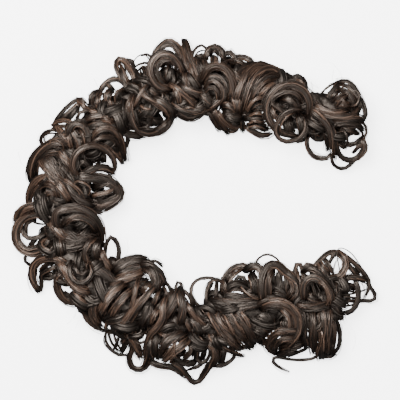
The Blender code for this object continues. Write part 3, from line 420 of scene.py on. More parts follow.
    (1.6, 0.15, (337, 298, 24), (348, 297, 22), (359, 299, 19)),
    (3, 0.3, (336, 302, 24), (348, 301, 22), (358, 302, 18)),
    (2, 0.25, (336, 306, 22), (347, 306, 20), (356, 304, 17)),
    (8, 0.05, (333, 281, 28), (336, 292, 29), (334, 306, 26)),
    (8, 0.2, (302, 306, 36), (303, 322, 37), (303, 336, 32), (307, 349, 22)),
    (8, 0.25, (311, 308, 36), (312, 324, 38), (312, 338, 33), (314, 354, 18)),
    (9, 0.4, (320, 306, 36), (322, 322, 38), (322, 338, 33), (320, 352, 21), (321, 360, 12)),
    (7, 0.35, (329, 306, 34), (328, 322, 36), (327, 338, 32), (326, 355, 18)),
    (2, 0.78, (320, 326, 39), (323, 341, 35), (323, 354, 24)),
    (4, 0.52, (325, 316, 39), (318, 327, 40), (311, 332, 39)),
    (2, 0.72, (326, 328, 37), (329, 344, 30), (327, 356, 18)),
    (5, 0.6, (331, 316, 31), (334, 330, 26), (333, 346, 18)),
    (3.5, 0.15, (329, 310, 29), (337, 322, 22), (340, 334, 18), (339, 346, 14), (334, 354, 10),
     (328, 357, 9)),
    # hair deeper down, darkened as painted shade, that closes the places between the curls
    (5, 0.1, (143, 66, 14), (145, 74, 18), (146, 82, 24)),
    (10, 0.05, (132, 113, 24), (144, 121, 22), (159, 123, 20)),
    (11, 0.03, (87, 151, 22), (95, 157, 20), (102, 158, 16)),
    (8, 0.08, (86, 196, 22), (100, 197, 20), (113, 194, 17)),
    (5, 0.08, (92, 189, 20), (98, 190, 18), (104, 189, 16)),
    (5, 0.15, (84, 205, 26), (95, 210, 22), (102, 213, 18)),
    (4, 0.35, (36, 220, 16), (28, 222, 15), (25, 230, 14), (26, 238, 14)),
    (5, 0.4, (56, 262, 24), (46, 265, 20), (39, 273, 13)),
    (4, 0.1, (42, 277, 12), (48, 275, 14), (57, 273, 18)),
    (5, 0.4, (33, 279, 10), (35, 287, 7), (39, 293, 5)),
    (10, 0.05, (75, 222, 26), (86, 228, 26), (98, 233, 22)),
    (7, 0.12, (112, 257, 12), (112, 262, 14), (113, 268, 17)),
    (5, 0.1, (97, 230, 24), (100, 239, 22), (103, 248, 20)),
    (10, 0.08, (121, 289, 24), (134, 284, 26), (149, 279, 26)),
    (6, 0.08, (139, 277, 26), (139, 286, 26), (136, 297, 26)),
    (6, 0.15, (168, 356, 18), (181, 362, 14), (191, 364, 11), (198, 359, 12)),
    (2, 0.2, (188, 370, 10), (197, 368, 11), (205, 363, 14)),
    (5, 0.15, (205, 345, 20), (204, 354, 16), (201, 362, 12)),
    (8, 0.12, (223, 345, 20), (222, 355, 14), (219, 365, 9)),
    (6, 0.05, (261, 330, 26), (262, 338, 22), (263, 347, 14)),
    (4, 0.1, (273, 266, 32), (273, 278, 30), (273, 289, 30)),
    (5, 0.1, (286, 272, 30), (286, 284, 28), (285, 296, 30)),
    (8, 0.05, (228, 289, 22), (238, 287, 22), (249, 288, 22)),
    (4, 0.1, (240, 279, 22), (244, 286, 24), (248, 294, 26)),
    (6, 0.12, (195, 61, 20), (200, 56, 18), (205, 60, 20)),
    (4, 0.15, (221, 69, 24), (226, 61, 20), (230, 56, 18)),
    (6, 0.05, (238, 113, 30), (246, 113, 30), (254, 113, 30)),
    (6, 0.05, (246, 126, 24), (258, 126, 24), (270, 129, 22)),
    (4, 0.3, (214, 116, 28), (222, 126, 18), (229, 135, 11)),
    (4, 0.3, (331, 100, 30), (335, 94, 28), (340, 89, 27)),
    (3, 0.2, (344, 143, 22), (345, 136, 24), (352, 132, 26)),
    (4, 0.3, (353, 153, 18), (358, 147, 19), (361, 139, 22)),
    (6, 0.2, (332, 306, 20), (339, 313, 14), (342, 321, 9)),
    (4, 0.3, (335, 338, 16), (333, 347, 14), (330, 356, 10)),
    (4, 0.3, (322, 345, 16), (322, 353, 12), (323, 360, 8)),
    (9, 0.2, (67, 124, 32), (75, 133, 34), (80, 145, 34), (79, 156, 31)),
    (8, 0.3, (58, 148, 31), (64, 157, 34), (71, 166, 34), (75, 175, 31)),
    (8, 0.15, (276, 326, 28), (283, 334, 30), (291, 341, 26)),
    (5, 0.1, (302, 132, 28), (312, 132, 26), (321, 136, 24)),
    (5, 0.1, (106, 83, 26), (110, 87, 24), (114, 93, 24)),
    (5, 0.08, (97, 91, 22), (93, 99, 20), (90, 109, 18)),
    (5, 0.08, (158, 114, 24), (161, 121, 22), (160, 128, 20)),
    (3.5, 0.3, (160, 67, 30), (167, 63, 31), (174, 66, 30)),
    (5, 0.08, (98, 151, 22), (104, 156, 20), (103, 163, 18)),
    (5, 0.2, (37, 237, 16), (32, 243, 14), (29, 249, 14)),
    (3.5, 0.2, (64, 292, 14), (71, 296, 14), (78, 293, 16)),
    (4, 0.15, (162, 289, 26), (162, 296, 24), (160, 303, 22)),
    (5, 0.15, (174, 352, 20), (180, 355, 17), (185, 349, 18)),
    (3, 0.2, (209, 56, 20), (214, 51, 19), (220, 56, 20)),
    (4, 0.1, (228, 121, 24), (235, 123, 22), (242, 122, 22)),
    (4, 0.25, (226, 129, 13), (232, 131, 11), (238, 129, 13)),
    (4, 0.2, (342, 286, 18), (350, 288, 17), (357, 289, 16)),
    (2.5, 0.3, (322, 256, 24), (326, 264, 26), (331, 272, 28)),
    (3, 0.2, (226, 285, 24), (229, 277, 24), (236, 270, 24)),
    (3, 0.2, (210, 301, 20), (209, 291, 20), (213, 282, 20)),
    (3, 0.2, (248, 280, 24), (250, 287, 24), (249, 295, 24)),
    (4, 0.2, (240, 349, 18), (246, 347, 15), (253, 346, 15)),
    (3, 0.2, (288, 357, 10), (298, 353, 11), (309, 348, 12)),
    (4, 0.2, (321, 357, 9), (330, 357, 8), (337, 354, 9)),
    (4, 0.15, (344, 139, 22), (351, 133, 24), (360, 134, 24)),
    (4, 0.2, (338, 139, 24), (342, 145, 20), (347, 148, 17)),
    # thin locks that stand off the mass
    (2.4, 0.2, (107, 328, 15), (105, 339, 9), (109, 348, 6), (117, 355, 4), (128, 356, 5)),
    (2.2, 0.3, (108, 332, 13), (111, 343, 7), (118, 352, 4)),
    (1.8, 0.3, (113, 334, 13), (117, 345, 7), (123, 353, 4)),
    (1.8, 0.2, (119, 336, 14), (115, 346, 8), (112, 353, 4)),
    (5, 0.2, (129, 336, 16), (125, 345, 10), (120, 354, 5)),
    (2.6, 0.3, (318, 350, 11), (316, 358, 6), (303, 361, 4), (289, 360, 4), (277, 358, 4), (273, 361, 4),
     (278, 367, 3), (290, 373, 3)),
    (1.6, 0.2, (254, 277, 20), (256, 263, 16), (262, 256, 13), (270, 255, 13), (278, 260, 18),
     (283, 271, 24)),
    (1.5, 0.2, (321, 98, 23), (323, 91, 21), (328, 87, 21), (335, 83, 21), (342, 81, 22)),
]

# white gaps that stay clear of the small filling curls: x, y, radius
clearings = [
    (319, 145, 12), (288, 137, 6), (104, 164, 13), (51, 137, 7), (137, 361, 7), (196, 371, 8),
    (203, 293, 9), (345, 265, 9), (360, 283, 12), (350, 152, 8), (34, 230, 9), (24, 243, 4),
    (105, 320, 4), (224, 358, 7), (345, 318, 5), (127, 60, 4), (327, 98, 6),
    (119, 85, 5), (112, 86, 3), (75, 106, 4), (82, 118, 3), (170, 50, 4), (176, 62, 4), (214, 54, 2),
    (163, 120, 4), (231, 128, 4), (323, 98, 7), (350, 139, 6), (340, 163, 6), (363, 131, 4),
    (45, 268, 4), (50, 274, 4), (68, 288, 6), (165, 287, 2), (210, 291, 3), (245, 276, 4),
    (237, 285, 4), (274, 284, 3), (287, 288, 4), (306, 274, 2), (335, 264, 6), (347, 269, 4),
    (364, 290, 7), (194, 364, 4), (203, 354, 4), (308, 352, 8),
]


def onPlan(x, y):
    return np.array([x - plan["centreX"], plan["centreY"] - y])


def smoothLine(points, perSpan=24):
    # Catmull-Rom, in as many dimensions as the points have
    points = np.array(points, float)
    ends = np.vstack([2 * points[0] - points[1], points, 2 * points[-1] - points[-2]])
    t = np.linspace(0, 1, perSpan, endpoint=False)[:, None]
    made = []
    for a, b, c, d in zip(ends, ends[1:], ends[2:], ends[3:]):
        bend = (2 * a - 5 * b + 4 * c - d) * t**2 + (3 * b - a - 3 * c + d) * t**3
        made.append(0.5 * (2 * b + (c - a) * t + bend))
    return np.vstack(made + [points[-1:]])


class Route:
    # the core's line on the plan, running on straight past both ends

    def __init__(self, points):
        line = smoothLine(points)
        ahead = np.arange(1, plan["pastEnd"])[:, None]
        before = line[0] - ahead[::-1] * unit(line[1] - line[0])
        after = line[-1] + ahead * unit(line[-1] - line[-2])
        self.points = np.vstack([before, line, after])
        steps = np.linalg.norm(np.diff(self.points, axis=0), axis=1)
        self.along = np.concatenate([[0], np.cumsum(steps)]) - len(before)
        self.length = self.along[len(before) + len(line) - 1]

    def at(self, along):
        return np.stack([np.interp(along, self.along, self.points[:, i]) for i in (0, 1)], axis=-1)

    def tangent(self, along):
        return unit(self.at(along + 0.5) - self.at(along - 0.5))

    def outward(self, along):
        tangent = self.tangent(along)
        return np.stack([tangent[..., 1], -tangent[..., 0]], axis=-1)

    def nearest(self, place):
        gaps = np.linalg.norm(self.points - place, axis=-1)
        along = self.along[gaps.argmin()]
        return along, float((place - self.at(along)) @ self.outward(along))


def unit(vectors):
    return vectors / (np.linalg.norm(vectors, axis=-1, keepdims=True) + 1e-9)


def levelRibbon(path):
    # a ribbon's two directions at each point, its broad side turned up
    tangent = unit(np.gradient(path, axis=0))
    wide = unit(np.cross(tangent, [0.0, 0.0, 1.0]) + 1e-5)
    return wide, np.cross(wide, tangent)


def rolledOver(wide, thick, roll):
    cos, sin = np.cos(roll)[:, None], np.sin(roll)[:, None]
    return wide * cos + thick * sin, thick * cos - wide * sin


route = Route([onPlan(x, y) for x, y in coreRoute])
rng = np.random.default_rng(41)


def tuftAt(along, out):
    return sum(along > border + slant * out for border, slant in tuftBorders)


lockShape = {
    "stepLength": 4.5,  # mm of hair between two sections
    "leadSteps": 6,  # sections between the root and the ring
    "leadPull": 0.42,
    "joinAngle": 115.0,  # where a ring that lies near its root begins, in degrees
    "nearRoot": 1.15,
    "rootDepth": 6.0,
    "ringShrink": 0.16,  # how much smaller a ring is at its tip
    "turnRise": 0.75,  # of its width, for each turn
    "widestRise": 9,
    "uneven": 0.07,  # how far a ring is from round, as a share of its radius
    "roll": 0.55,  # how far a band rolls over along its way, in radians
}


def lockPath(lock):
    # the lock's line in millimetres, with the ribbon's two directions at each point
    shape = lockShape
    lean, toward = math.radians(lock.lean), math.radians(lock.toward)
    axis = np.array([math.sin(lean) * math.cos(toward), math.sin(lean) * math.sin(toward), math.cos(lean)])
    centre = np.array([*onPlan(lock.x, lock.y), lock.z])
    along, _ = route.nearest(centre[:2])
    along = min(max(along, shape["rootDepth"]), route.length - shape["rootDepth"])
    core = np.array([*route.at(along), plan["coreHeight"]])
    root = core + unit(centre - core) * shape["rootDepth"]
    side = root - centre
    side = side - (side @ axis) * axis
    if np.linalg.norm(side) < 1:
        side = np.cross(axis, [0.31, 0.87, 0.12])
    side = unit(side)
    turned = np.stack([side, np.cross(axis, side), axis])  # rows are the curl's own axes
    localRoot = turned @ (root - centre)

    away = math.hypot(localRoot[0], localRoot[1])
    reach = lock.ring * lock.stretch
    near = away < reach * shape["nearRoot"]
    start = math.radians(shape["joinAngle"]) if near else math.acos(reach / away)
    sweep = lock.turns * 2 * math.pi
    steps = max(9, round(sweep * lock.ring * (1 + lock.stretch) / 2 / shape["stepLength"]))
    share = np.linspace(0, 1, steps + 1)
    angle = start + sweep * share
    radius = lock.ring * (1 - shape["ringShrink"] * share)
    bumps = [rng.normal(0, 1) * np.sin(angle * k + rng.uniform(0, 6.3)) / k for k in (1, 2, 3)]
    radius = radius * (1 + shape["uneven"] * sum(bumps) * np.minimum(1, share * 4))
    rise = min(lock.width, shape["widestRise"]) * shape["turnRise"] * lock.turns * (share - 0.5)
    ring = np.stack([radius * lock.stretch * np.cos(angle), radius * np.sin(angle), rise], axis=1)

    handle = np.linalg.norm(ring[0] - localRoot) * shape["leadPull"]
    first = localRoot - unit(localRoot) * handle
    last = ring[0] - unit(ring[1] - ring[0]) * handle
    t = np.linspace(0, 1, shape["leadSteps"], endpoint=False)[:, None]
    lead = localRoot * (1 - t) ** 3 + 3 * first * t * (1 - t) ** 2 + 3 * last * t**2 * (1 - t)
    lead = lead + ring[0] * t**3
    path = np.vstack([lead, ring])
    path[:, 1] *= lock.way

    tangent = unit(np.gradient(path, axis=0))
    wide = np.array([0.0, 0.0, 1.0]) - tangent * tangent[:, 2:3]
    wide = unit(wide + 1e-4)
    thick = np.cross(tangent, wide)
    steps = np.linspace(0, 1, len(path))
    roll = shape["roll"] * (rng.normal(0, 0.6) + np.sin(rng.uniform(3, 8) * steps + rng.uniform(0, 6.3)))
    wide, thick = rolledOver(wide, thick, roll)
    return centre + path @ turned, wide @ turned, thick @ turned


class HairBuilder:
    # gathers swept strands and turns them into one mesh

    def __init__(self):
        self.groups = []

    def sweep(self, centre, wide, thick, width, depth, sides, shade):
        # centre, wide, thick: strands x sections x 3; width and depth: strands x sections
        turn = 2 * np.pi * (np.arange(sides) + 0.5) / sides
        across = width[:, :, None] / 2 * np.cos(turn)
        up = depth[:, :, None] / 2 * np.sin(turn)
        points = centre[:, :, None] + wide[:, :, None] * across[..., None] + thick[:, :, None] * up[..., None]
        step = np.linalg.norm(np.diff(centre, axis=1), axis=2)
        along = np.concatenate([np.zeros((len(centre), 1)), np.cumsum(step, axis=1)], axis=1)
        strand = rng.uniform(0, 100, (len(centre), 1, 1))
        parts = [along[:, :, None], across + 0.4 * up, strand, shade]
        flow = np.stack([np.broadcast_to(part, across.shape) for part in parts], axis=-1)
        self.groups.append((points, flow))

    def strandCount(self):
        return sum(len(points) for points, _ in self.groups)

    def mesh(self, name):
        corners, starts, places, flows, maps = [], [], [], [], []
        used = loops = 0
        cells = atlasCells([points.shape[:3] for points, _ in self.groups])
        for (points, flow), cell in zip(self.groups, cells):
            strands, sections, sides = points.shape[:3]
            ids = used + np.arange(strands * sections * sides).reshape(strands, sections, sides)
            nextSide = np.roll(ids, -1, axis=2)
            quads = np.stack([ids[:, :-1], nextSide[:, :-1], nextSide[:, 1:], ids[:, 1:]], axis=-1)
            caps = np.stack([ids[:, 0, ::-1], ids[:, -1]], axis=1)
            quadMap, capMap = atlasPlaces(cell, strands, sections, sides)
            corners += [quads.reshape(-1), caps.reshape(-1)]
            maps += [quadMap.reshape(-1, 2), capMap.reshape(-1, 2)]
            starts.append(loops + 4 * np.arange(quads.size // 4))
            loops += quads.size
            starts.append(loops + sides * np.arange(caps.size // sides))
            loops += caps.size
            places.append(points.reshape(-1, 3))
            flows.append(flow.reshape(-1, 4))
            used += ids.size
        places = onSurface(np.concatenate(places))
        made = bpy.data.meshes.new(name)
        made.vertices.add(used)
        made.vertices.foreach_set("co", (places * mm).ravel())
        made.loops.add(loops)
        made.loops.foreach_set("vertex_index", np.concatenate(corners).astype(np.int32))
        starts = np.concatenate(starts).astype(np.int32)
        made.polygons.add(len(starts))
        made.polygons.foreach_set("loop_start", starts)
        made.update(calc_edges=True)
        made.shade_smooth()
        flows = np.concatenate(flows)
        # painted shade: strands that lie low over the surface are darkened in colour
        flows[:, 3] -= lowHairPaintedShade["darker"] * np.clip(1 - places[:, 2] / lowHairPaintedShade["below"], 0, 1)
        flow = made.attributes.new("flow", "FLOAT_VECTOR", "POINT")
        flow.data.foreach_set("vector", flows[:, :3].ravel())
        shade = made.attributes.new("shade", "FLOAT", "POINT")
        shade.data.foreach_set("value", np.ascontiguousarray(flows[:, 3]))
        layer = made.uv_layers.new(name="OFBake")
        layer.uv.foreach_set("vector", np.concatenate(maps).ravel())
        return made


# shares of a strand's cell on the map
atlas = {
    "inset": 0.08,
    "foot": 0.03,
    "cap": 0.014,
    "capWidth": 0.3,
    "capHeight": 0.01,
    "thinCell": 0.35,  # a thin strand's cell, beside a thick one's
    "columnsPerRow": 12,
}


def atlasCells(shapes):
    # gives each strand its own upright cell on the map, thin strands on narrower ones
    weights = np.concatenate(
        [np.full(strands, 1.0 if sides > 4 else atlas["thinCell"]) for strands, _, sides in shapes]
    )
    rows = max(1, round(math.sqrt(weights.sum() / atlas["columnsPerRow"])))
    perRow = weights.sum() / rows
    ends = np.cumsum(weights)
    row = np.minimum((ends - weights / 2) // perRow, rows - 1).astype(int)
    cells = np.zeros((len(weights), 4))
    for index in range(rows):
        here = row == index
        edge = np.concatenate([[0], np.cumsum(weights[here])]) / weights[here].sum()
        cells[here] = np.stack(
            [edge[:-1], np.full(here.sum(), index / rows), np.diff(edge), np.full(here.sum(), 1 / rows)],
            axis=1,
        )
    return np.split(cells, np.cumsum([strands for strands, _, _ in shapes])[:-1])


def atlasPlaces(cell, strands, sections, sides):
    # a strand's sides fill most of its cell, and its two end caps are small rings above and below
    inset, foot, height = atlas["inset"], atlas["foot"], 1 - 2 * atlas["foot"]
    u = cell[:, 0, None] + cell[:, 2, None] * (inset + (1 - 2 * inset) * np.arange(sides + 1) / sides)
    v = cell[:, 1, None] + cell[:, 3, None] * (foot + height * np.arange(sections) / (sections - 1))
    low, high = u[:, None, :-1], u[:, None, 1:]
    near, far = v[:, :-1, None], v[:, 1:, None]
    shape = (strands, sections - 1, sides)
    pairs = [(low, near), (high, near), (high, far), (low, far)]
    quads = np.stack(
        [np.stack([np.broadcast_to(a, shape), np.broadcast_to(b, shape)], axis=-1) for a, b in pairs],
        axis=3,
    )
    turn = 2 * np.pi * np.arange(sides) / sides
    middle = cell[:, 0] + cell[:, 2] / 2
    caps = []
    for end in (atlas["cap"], 1 - atlas["cap"]):
        x = middle[:, None] + cell[:, 2, None] * atlas["capWidth"] * np.cos(turn)
        y = cell[:, 1, None] + cell[:, 3, None] * (end + atlas["capHeight"] * np.sin(turn))
        caps.append(np.stack([x, y], axis=-1))
    return quads, np.stack(caps, axis=1)


# painted shade: how much darker hair close to the surface is coloured, and below what height
lowHairPaintedShade = {
    "darker": 0.35,
    "below": 18.0,  # mm above the surface
}


def onSurface(places, soft=3.0):
    # hair that would sink into the surface is pressed flat on it
    z = places[:, 2]
    places[:, 2] = np.where(z < soft, soft * np.exp((z - soft) / soft), z)
    return places


strandEnds = {
    "rootSwell": 0.65,  # a lock's size at its root, as a share of the full size
    "swellRate": 2.4,
    "tipFade": 0.15,  # and at its tip
    "fadeRate": 4.0,
    "fadeCurve": 0.8,
    "shortest": 0.84,  # where the first strands end, as a share of the lock's length
    "taperLength": 0.18,
    "taperStart": 0.25,
    "taperTip": 0.2,
    "taperCurve": 0.7,
}

bundles = {
    "pitch": 1.35,  # mm of a lock's girth for each strand laid on it
    "overlap": 1.6,
    "depth": 0.34,  # of a strand's width
    "sides": 4,
    "inner": 0.9,  # size of the solid inside, as a share of the lock's
    "innerSides": 7,
    "nested": 0.94,  # where the strands' middles lie, as a share of the lock's size
    "bunched": 0.45,  # how far they draw together at the tip
    "drift": 0.36,  # how far strands wander round the lock, in radians
    "lift": 0.10,  # how far they rise and sink, as a share of its size
    "fray": 0.36,  # how much they spread at the tip
    "fraySpread": (0.2, 1.4),
    "widthSpread": (0.7, 1.2),
    "depthSpread": (0.8, 1.3),
    "tint": 0.34,  # how much strands differ from each other
    "plump": 0.72,  # a curl's thickness for each mm of its width
    "plumpest": 6.5,
}

fineHairs = {
    "perLock": 7,
    "sides": 3,
    "radius": (0.13, 0.26),
    "spread": 1.3,
    "wander": 1.3,
}

bands = {
    "stepLength": 4.6,
    "widen": 1.07,  # a drawn width is the dense middle of the band
    "pitch": 0.77,
    "plump": 0.45,
    "thinnest": 1.6,
    "plumpest": 4.2,
    "roll": 0.45,  # radians
    "dive": 6.0,  # how deep both ends dip
    "diveShare": 0.3,  # and at most this share of their height
    "diveLength": 9.0,
}


def wave(count, sections, low, high):
    # slow smooth wandering along each strand, between -1 and 1
    t = np.linspace(0, 1, sections)[None]
    turns = rng.uniform(low, high, (count, 1))
    phase = rng.uniform(0, 2 * np.pi, (count, 1))
    return np.sin(2 * np.pi * turns * t + phase)


def addBundle(builder, path, wide, thick, width, depth, shade, pitch, hairs):
    # strands laid round a solid middle along one path; width and depth are the lock's full sizes,
    # and a pitch above 1 makes its strands coarser
    made, ends = bundles, strandEnds
    sections = len(path)
    t = np.linspace(0, 1, sections)
    swell = np.minimum(1, ends["rootSwell"] + t * ends["swellRate"])
    fade = np.minimum(1, ends["tipFade"] + (1 - t) * ends["fadeRate"]) ** ends["fadeCurve"]
    a, b = width / 2 * swell, depth / 2 * swell

    inner = made["inner"] * fade
    builder.sweep(
        path[None], wide[None], thick[None], (2 * a * inner)[None], (2 * b * inner)[None],
        made["innerSides"], shade,
    )

    girth = 2 * np.pi * math.sqrt((width**2 + depth**2) / 8)
    count = max(4, round(girth / (made["pitch"] * pitch)))
    angle = 2 * np.pi * (np.arange(count)[:, None] + rng.uniform(-0.3, 0.3, (count, 1))) / count
    angle = angle + made["drift"] * wave(count, sections, 0.4, 1.3)
    rise = rng.normal(0, 0.6, (count, 1)) + wave(count, sections, 0.5, 1.6)
    size = made["nested"] + made["lift"] * rise
    frayed = 1 + made["fray"] * t**4 * rng.uniform(*made["fraySpread"], (count, 1))
    size = size * (1 - made["bunched"] + made["bunched"] * fade) * frayed
    cos, sin = np.cos(angle), np.sin(angle)
    across, up = a * cos * size, b * sin * size
    centre = path[None] + wide[None] * across[..., None] + thick[None] * up[..., None]
    normal = unit(np.stack([b * cos, a * sin], axis=-1) + 1e-6)
    out = wide[None] * normal[..., 0:1] + thick[None] * normal[..., 1:2]
    flat = thick[None] * normal[..., 0:1] - wide[None] * normal[..., 1:2]
    long = rng.uniform(ends["shortest"], 1.0, (count, 1))  # strands end one after another
    taper = (long - t[None]) / ends["taperLength"] + ends["taperStart"]
    taper = np.clip(taper, ends["taperTip"], 1) ** ends["taperCurve"]
    share = made["overlap"] * rng.uniform(*made["widthSpread"], (count, 1))
    strandWidth = girth / count * share * swell * taper
    strandDepth = strandWidth * made["depth"] * rng.uniform(*made["depthSpread"], (count, 1))
    builder.sweep(
        centre, flat, out, strandWidth, strandDepth, made["sides"],
        (shade + rng.normal(0, made["tint"], (count, 1)))[..., None],
    )
    if hairs:
        addFineHairs(builder, path, wide, thick, width, depth, shade, hairs)


def addLock(builder, lock, shade, pitch, hairs):
    path, wide, thick = lockPath(lock)
    depth = min(lock.width * bundles["plump"], bundles["plumpest"])
    addBundle(builder, path, wide, thick, lock.width, depth, shade, pitch, hairs)


def addBand(builder, bandWidth, shade, points):
    # a lock drawn through its own points
    line = smoothLine([(*onPlan(x, y), z) for x, y, z in points], perSpan=12)
    steps = np.concatenate([[0], np.cumsum(np.linalg.norm(np.diff(line, axis=0), axis=1))])
    even = np.linspace(0, steps[-1], max(6, round(steps[-1] / bands["stepLength"])))
    path = np.stack([np.interp(even, steps, line[:, i]) for i in range(3)], axis=1)
    fromEnd = np.minimum(even, steps[-1] - even) / bands["diveLength"]
    deepest = np.minimum(bands["dive"], path[:, 2] * bands["diveShare"])
    path[:, 2] -= deepest * np.clip(1 - fromEnd, 0, 1) ** 2
    share = np.linspace(0, 1, len(path))
    roll = bands["roll"] * np.sin(rng.uniform(2, 6) * share + rng.uniform(0, 6.3))
    wide, thick = rolledOver(*levelRibbon(path), roll)
    width = bandWidth * bands["widen"]
    depth = min(max(width * bands["plump"], bands["thinnest"]), bands["plumpest"])
    hairs = min(fineHairs["perLock"], round(width))
    addBundle(builder, path, wide, thick, width, depth, shade, bands["pitch"], hairs)


def addRoundHairs(builder, centre, wide, thick, size, sides, shade):
    shape = centre.shape
    wide, thick = np.broadcast_to(wide, shape), np.broadcast_to(thick, shape)
    builder.sweep(centre, wide, thick, size, size, sides, shade)


def addFineHairs(builder, path, wide, thick, width, depth, shade, count):
    sections = len(path)
    t = np.linspace(0, 1, sections)[None]
    spread = fineHairs["spread"] * (0.7 + 0.5 * t)
    wander = fineHairs["wander"]
    turn = rng.uniform(0, 2 * np.pi, (count, 1))
    across = np.cos(turn) * width / 2 * spread + wave(count, sections, 0.5, 2.0) * wander
    lift = np.sin(turn) * depth / 2 * spread + wave(count, sections, 0.5, 2.0) * wander
    centre = path[None] + wide[None] * across[..., None] + thick[None] * lift[..., None]
    radius = rng.uniform(*fineHairs["radius"], (count, 1)) * np.minimum(1, 0.3 + (1 - t) * 4)
    addRoundHairs(builder, centre, wide, thick, 2 * radius, fineHairs["sides"], shade)


boundHair = {
    "halfWidth": 15.0,
    "halfHeight": 9.0,
    "sides": 28,
    "step": 3.5,  # mm along the core
    "margin": 4.0,  # how far it stays from the core's ends
    "ridge": 0.11,
    "ridges": 7,
    "slant": 0.35,  # how far the ridges wind round for each mm along, in radians
    "lumps": 4,
    "endSize": 0.88,  # its size where two tufts meet
    "lap": 2.0,  # how far it runs into its neighbours
    # painted shade: far darker than the curls' own tone, as if deep in shade
    "shade": -0.5,
}


def addBoundHair(builder, low, high):
    # the dense dark hair that is tied round the core, made darker still as painted shade
    made = boundHair
    low = max(low - made["lap"], made["margin"])
    high = min(high + made["lap"], route.length - made["margin"])
    along = np.linspace(low, high, max(6, round((high - low) / made["step"])))
    place = np.concatenate([route.at(along), np.full((len(along), 1), plan["coreHeight"])], axis=1)
    outward = np.concatenate([route.outward(along), np.zeros((len(along), 1))], axis=1)
    upward = np.broadcast_to([0.0, 0.0, 1.0], outward.shape)
    swell = made["endSize"] + (1 - made["endSize"]) * np.sin(np.linspace(0, np.pi, len(along)))
    turn = 2 * np.pi * (np.arange(made["sides"]) + 0.5) / made["sides"]
    ridges = turn[None] * made["ridges"] + along[:, None] * made["slant"]
    lumps = 1 + made["ridge"] * np.sin(ridges + rng.uniform(0, 6))
    slower = turn[None] * made["lumps"] - along[:, None] * 0.5
    lumps += made["ridge"] * 0.6 * np.sin(slower + rng.uniform(0, 6))
    across = made["halfWidth"] * swell[:, None] * np.cos(turn) * lumps
    up = made["halfHeight"] * swell[:, None] * np.sin(turn) * lumps
    points = place[:, None] + outward[:, None] * across[..., None] + upward[:, None] * up[..., None]
    parts = [across * 2.0, along[:, None], 50.0, made["shade"]]
    flow = np.stack([np.broadcast_to(part, across.shape) for part in parts], axis=-1)
    builder.groups.append((points[None], flow[None]))


fillers = {
    "step": 8.0,  # mm along the core between filling curls
    "perStep": 3,
    "jitter": 3,  # mm along the core
    "around": (-25, 205),  # degrees round the core, 90 straight up
    "keepClear": 0.8,  # how near a white gap it may come, as a share of its ring
    "ring": (8.0, 14.0),
    "width": (6.0, 12.0),
    "turns": (0.45, 0.95),
    "outReach": (6.0, 16.0),
    "upReach": (0.0, 5.0),
    "lean": (25, 88),
    "stretch": (0.9, 1.5),
    # painted shade: the filling curls lie deep and are made dark to stand in for the shade between the curls
    "shade": (-0.3, 0.12),  # middle and spread
    "pitch": 1.9,
    "hairs": 1,
}

wisps = {
    "step": 30.0,
    "jitter": 4,
    "keepClear": 0.6,
    "ring": (6.0, 12.0),
    "width": (1.4, 3.0),
    "turns": (0.35, 0.7),
    "outReach": (13.0, 21.0),
    "height": (8.0, 34.0),
    "lean": (5, 75),
    "stretch": (0.9, 1.6),
    "shade": (0.3, 0.1),
    "pitch": 1.0,
    "hairs": 2,
}


def besideCore(along, out):
    # a place on the plan, this far outward from the core
    place = route.at(along) + route.outward(along) * out
    return place[0] + plan["centreX"], plan["centreY"] - place[1]


def isClear(x, y, reach):
    # true where a curl would keep out of the white gaps
    return all(math.hypot(x - cx, y - cy) > radius + reach for cx, cy, radius in clearings)


def anyLock(x, y, z, ring, kind):
    lean = rng.uniform(*kind["lean"])
    toward = rng.uniform(0, 360)
    width = rng.uniform(*kind["width"])
    turns = rng.uniform(*kind["turns"])
    return Lock(x, y, z, ring, lean, toward, width, turns, rng.choice([-1, 1]), rng.uniform(*kind["stretch"]))


def fillingCurls():
    made = []
    for along in np.arange(6, route.length - 4, fillers["step"]):
        for _ in range(fillers["perStep"]):
            around = rng.uniform(*np.radians(fillers["around"]))
            here = along + rng.uniform(-1, 1) * fillers["jitter"]
            out = rng.uniform(*fillers["outReach"]) * math.cos(around)
            z = plan["coreHeight"] + rng.uniform(*fillers["upReach"]) * math.sin(around) - 1
            x, y = besideCore(here, out)
            ring = rng.uniform(*fillers["ring"])
            if not isClear(x, y, ring * fillers["keepClear"]):
                continue
            made.append(anyLock(x, y, z, ring, fillers))
    return made


def rimWisps():
    made = []
    for along in np.arange(2, route.length, wisps["step"]):
        for side in (-1, 1):
            here = along + rng.uniform(-1, 1) * wisps["jitter"]
            out = side * rng.uniform(*wisps["outReach"])
            x, y = besideCore(here, out)
            ring = rng.uniform(*wisps["ring"])
            if not isClear(x, y, ring * wisps["keepClear"]):
                continue
            made.append(anyLock(x, y, rng.uniform(*wisps["height"]), ring, wisps))
    return made


flyaways = {
    "perTuft": 26,
    "sections": 8,
    "sides": 3,
    "radius": (0.09, 0.17),
    "ring": (9.0, 26.0),
    "turns": (0.2, 0.6),
    "reach": (0.5, 1.15),  # how far out they start, as a share of the mass
    "halfWidth": 24.0,
    "halfHeight": 21.0,
    "around": (10, 170),  # degrees round the core
    "droop": (0.2, 0.9),  # how far their ends sag, as a share of their height
    "wander": 1.2,
    "shade": (0.2, 0.9),
}


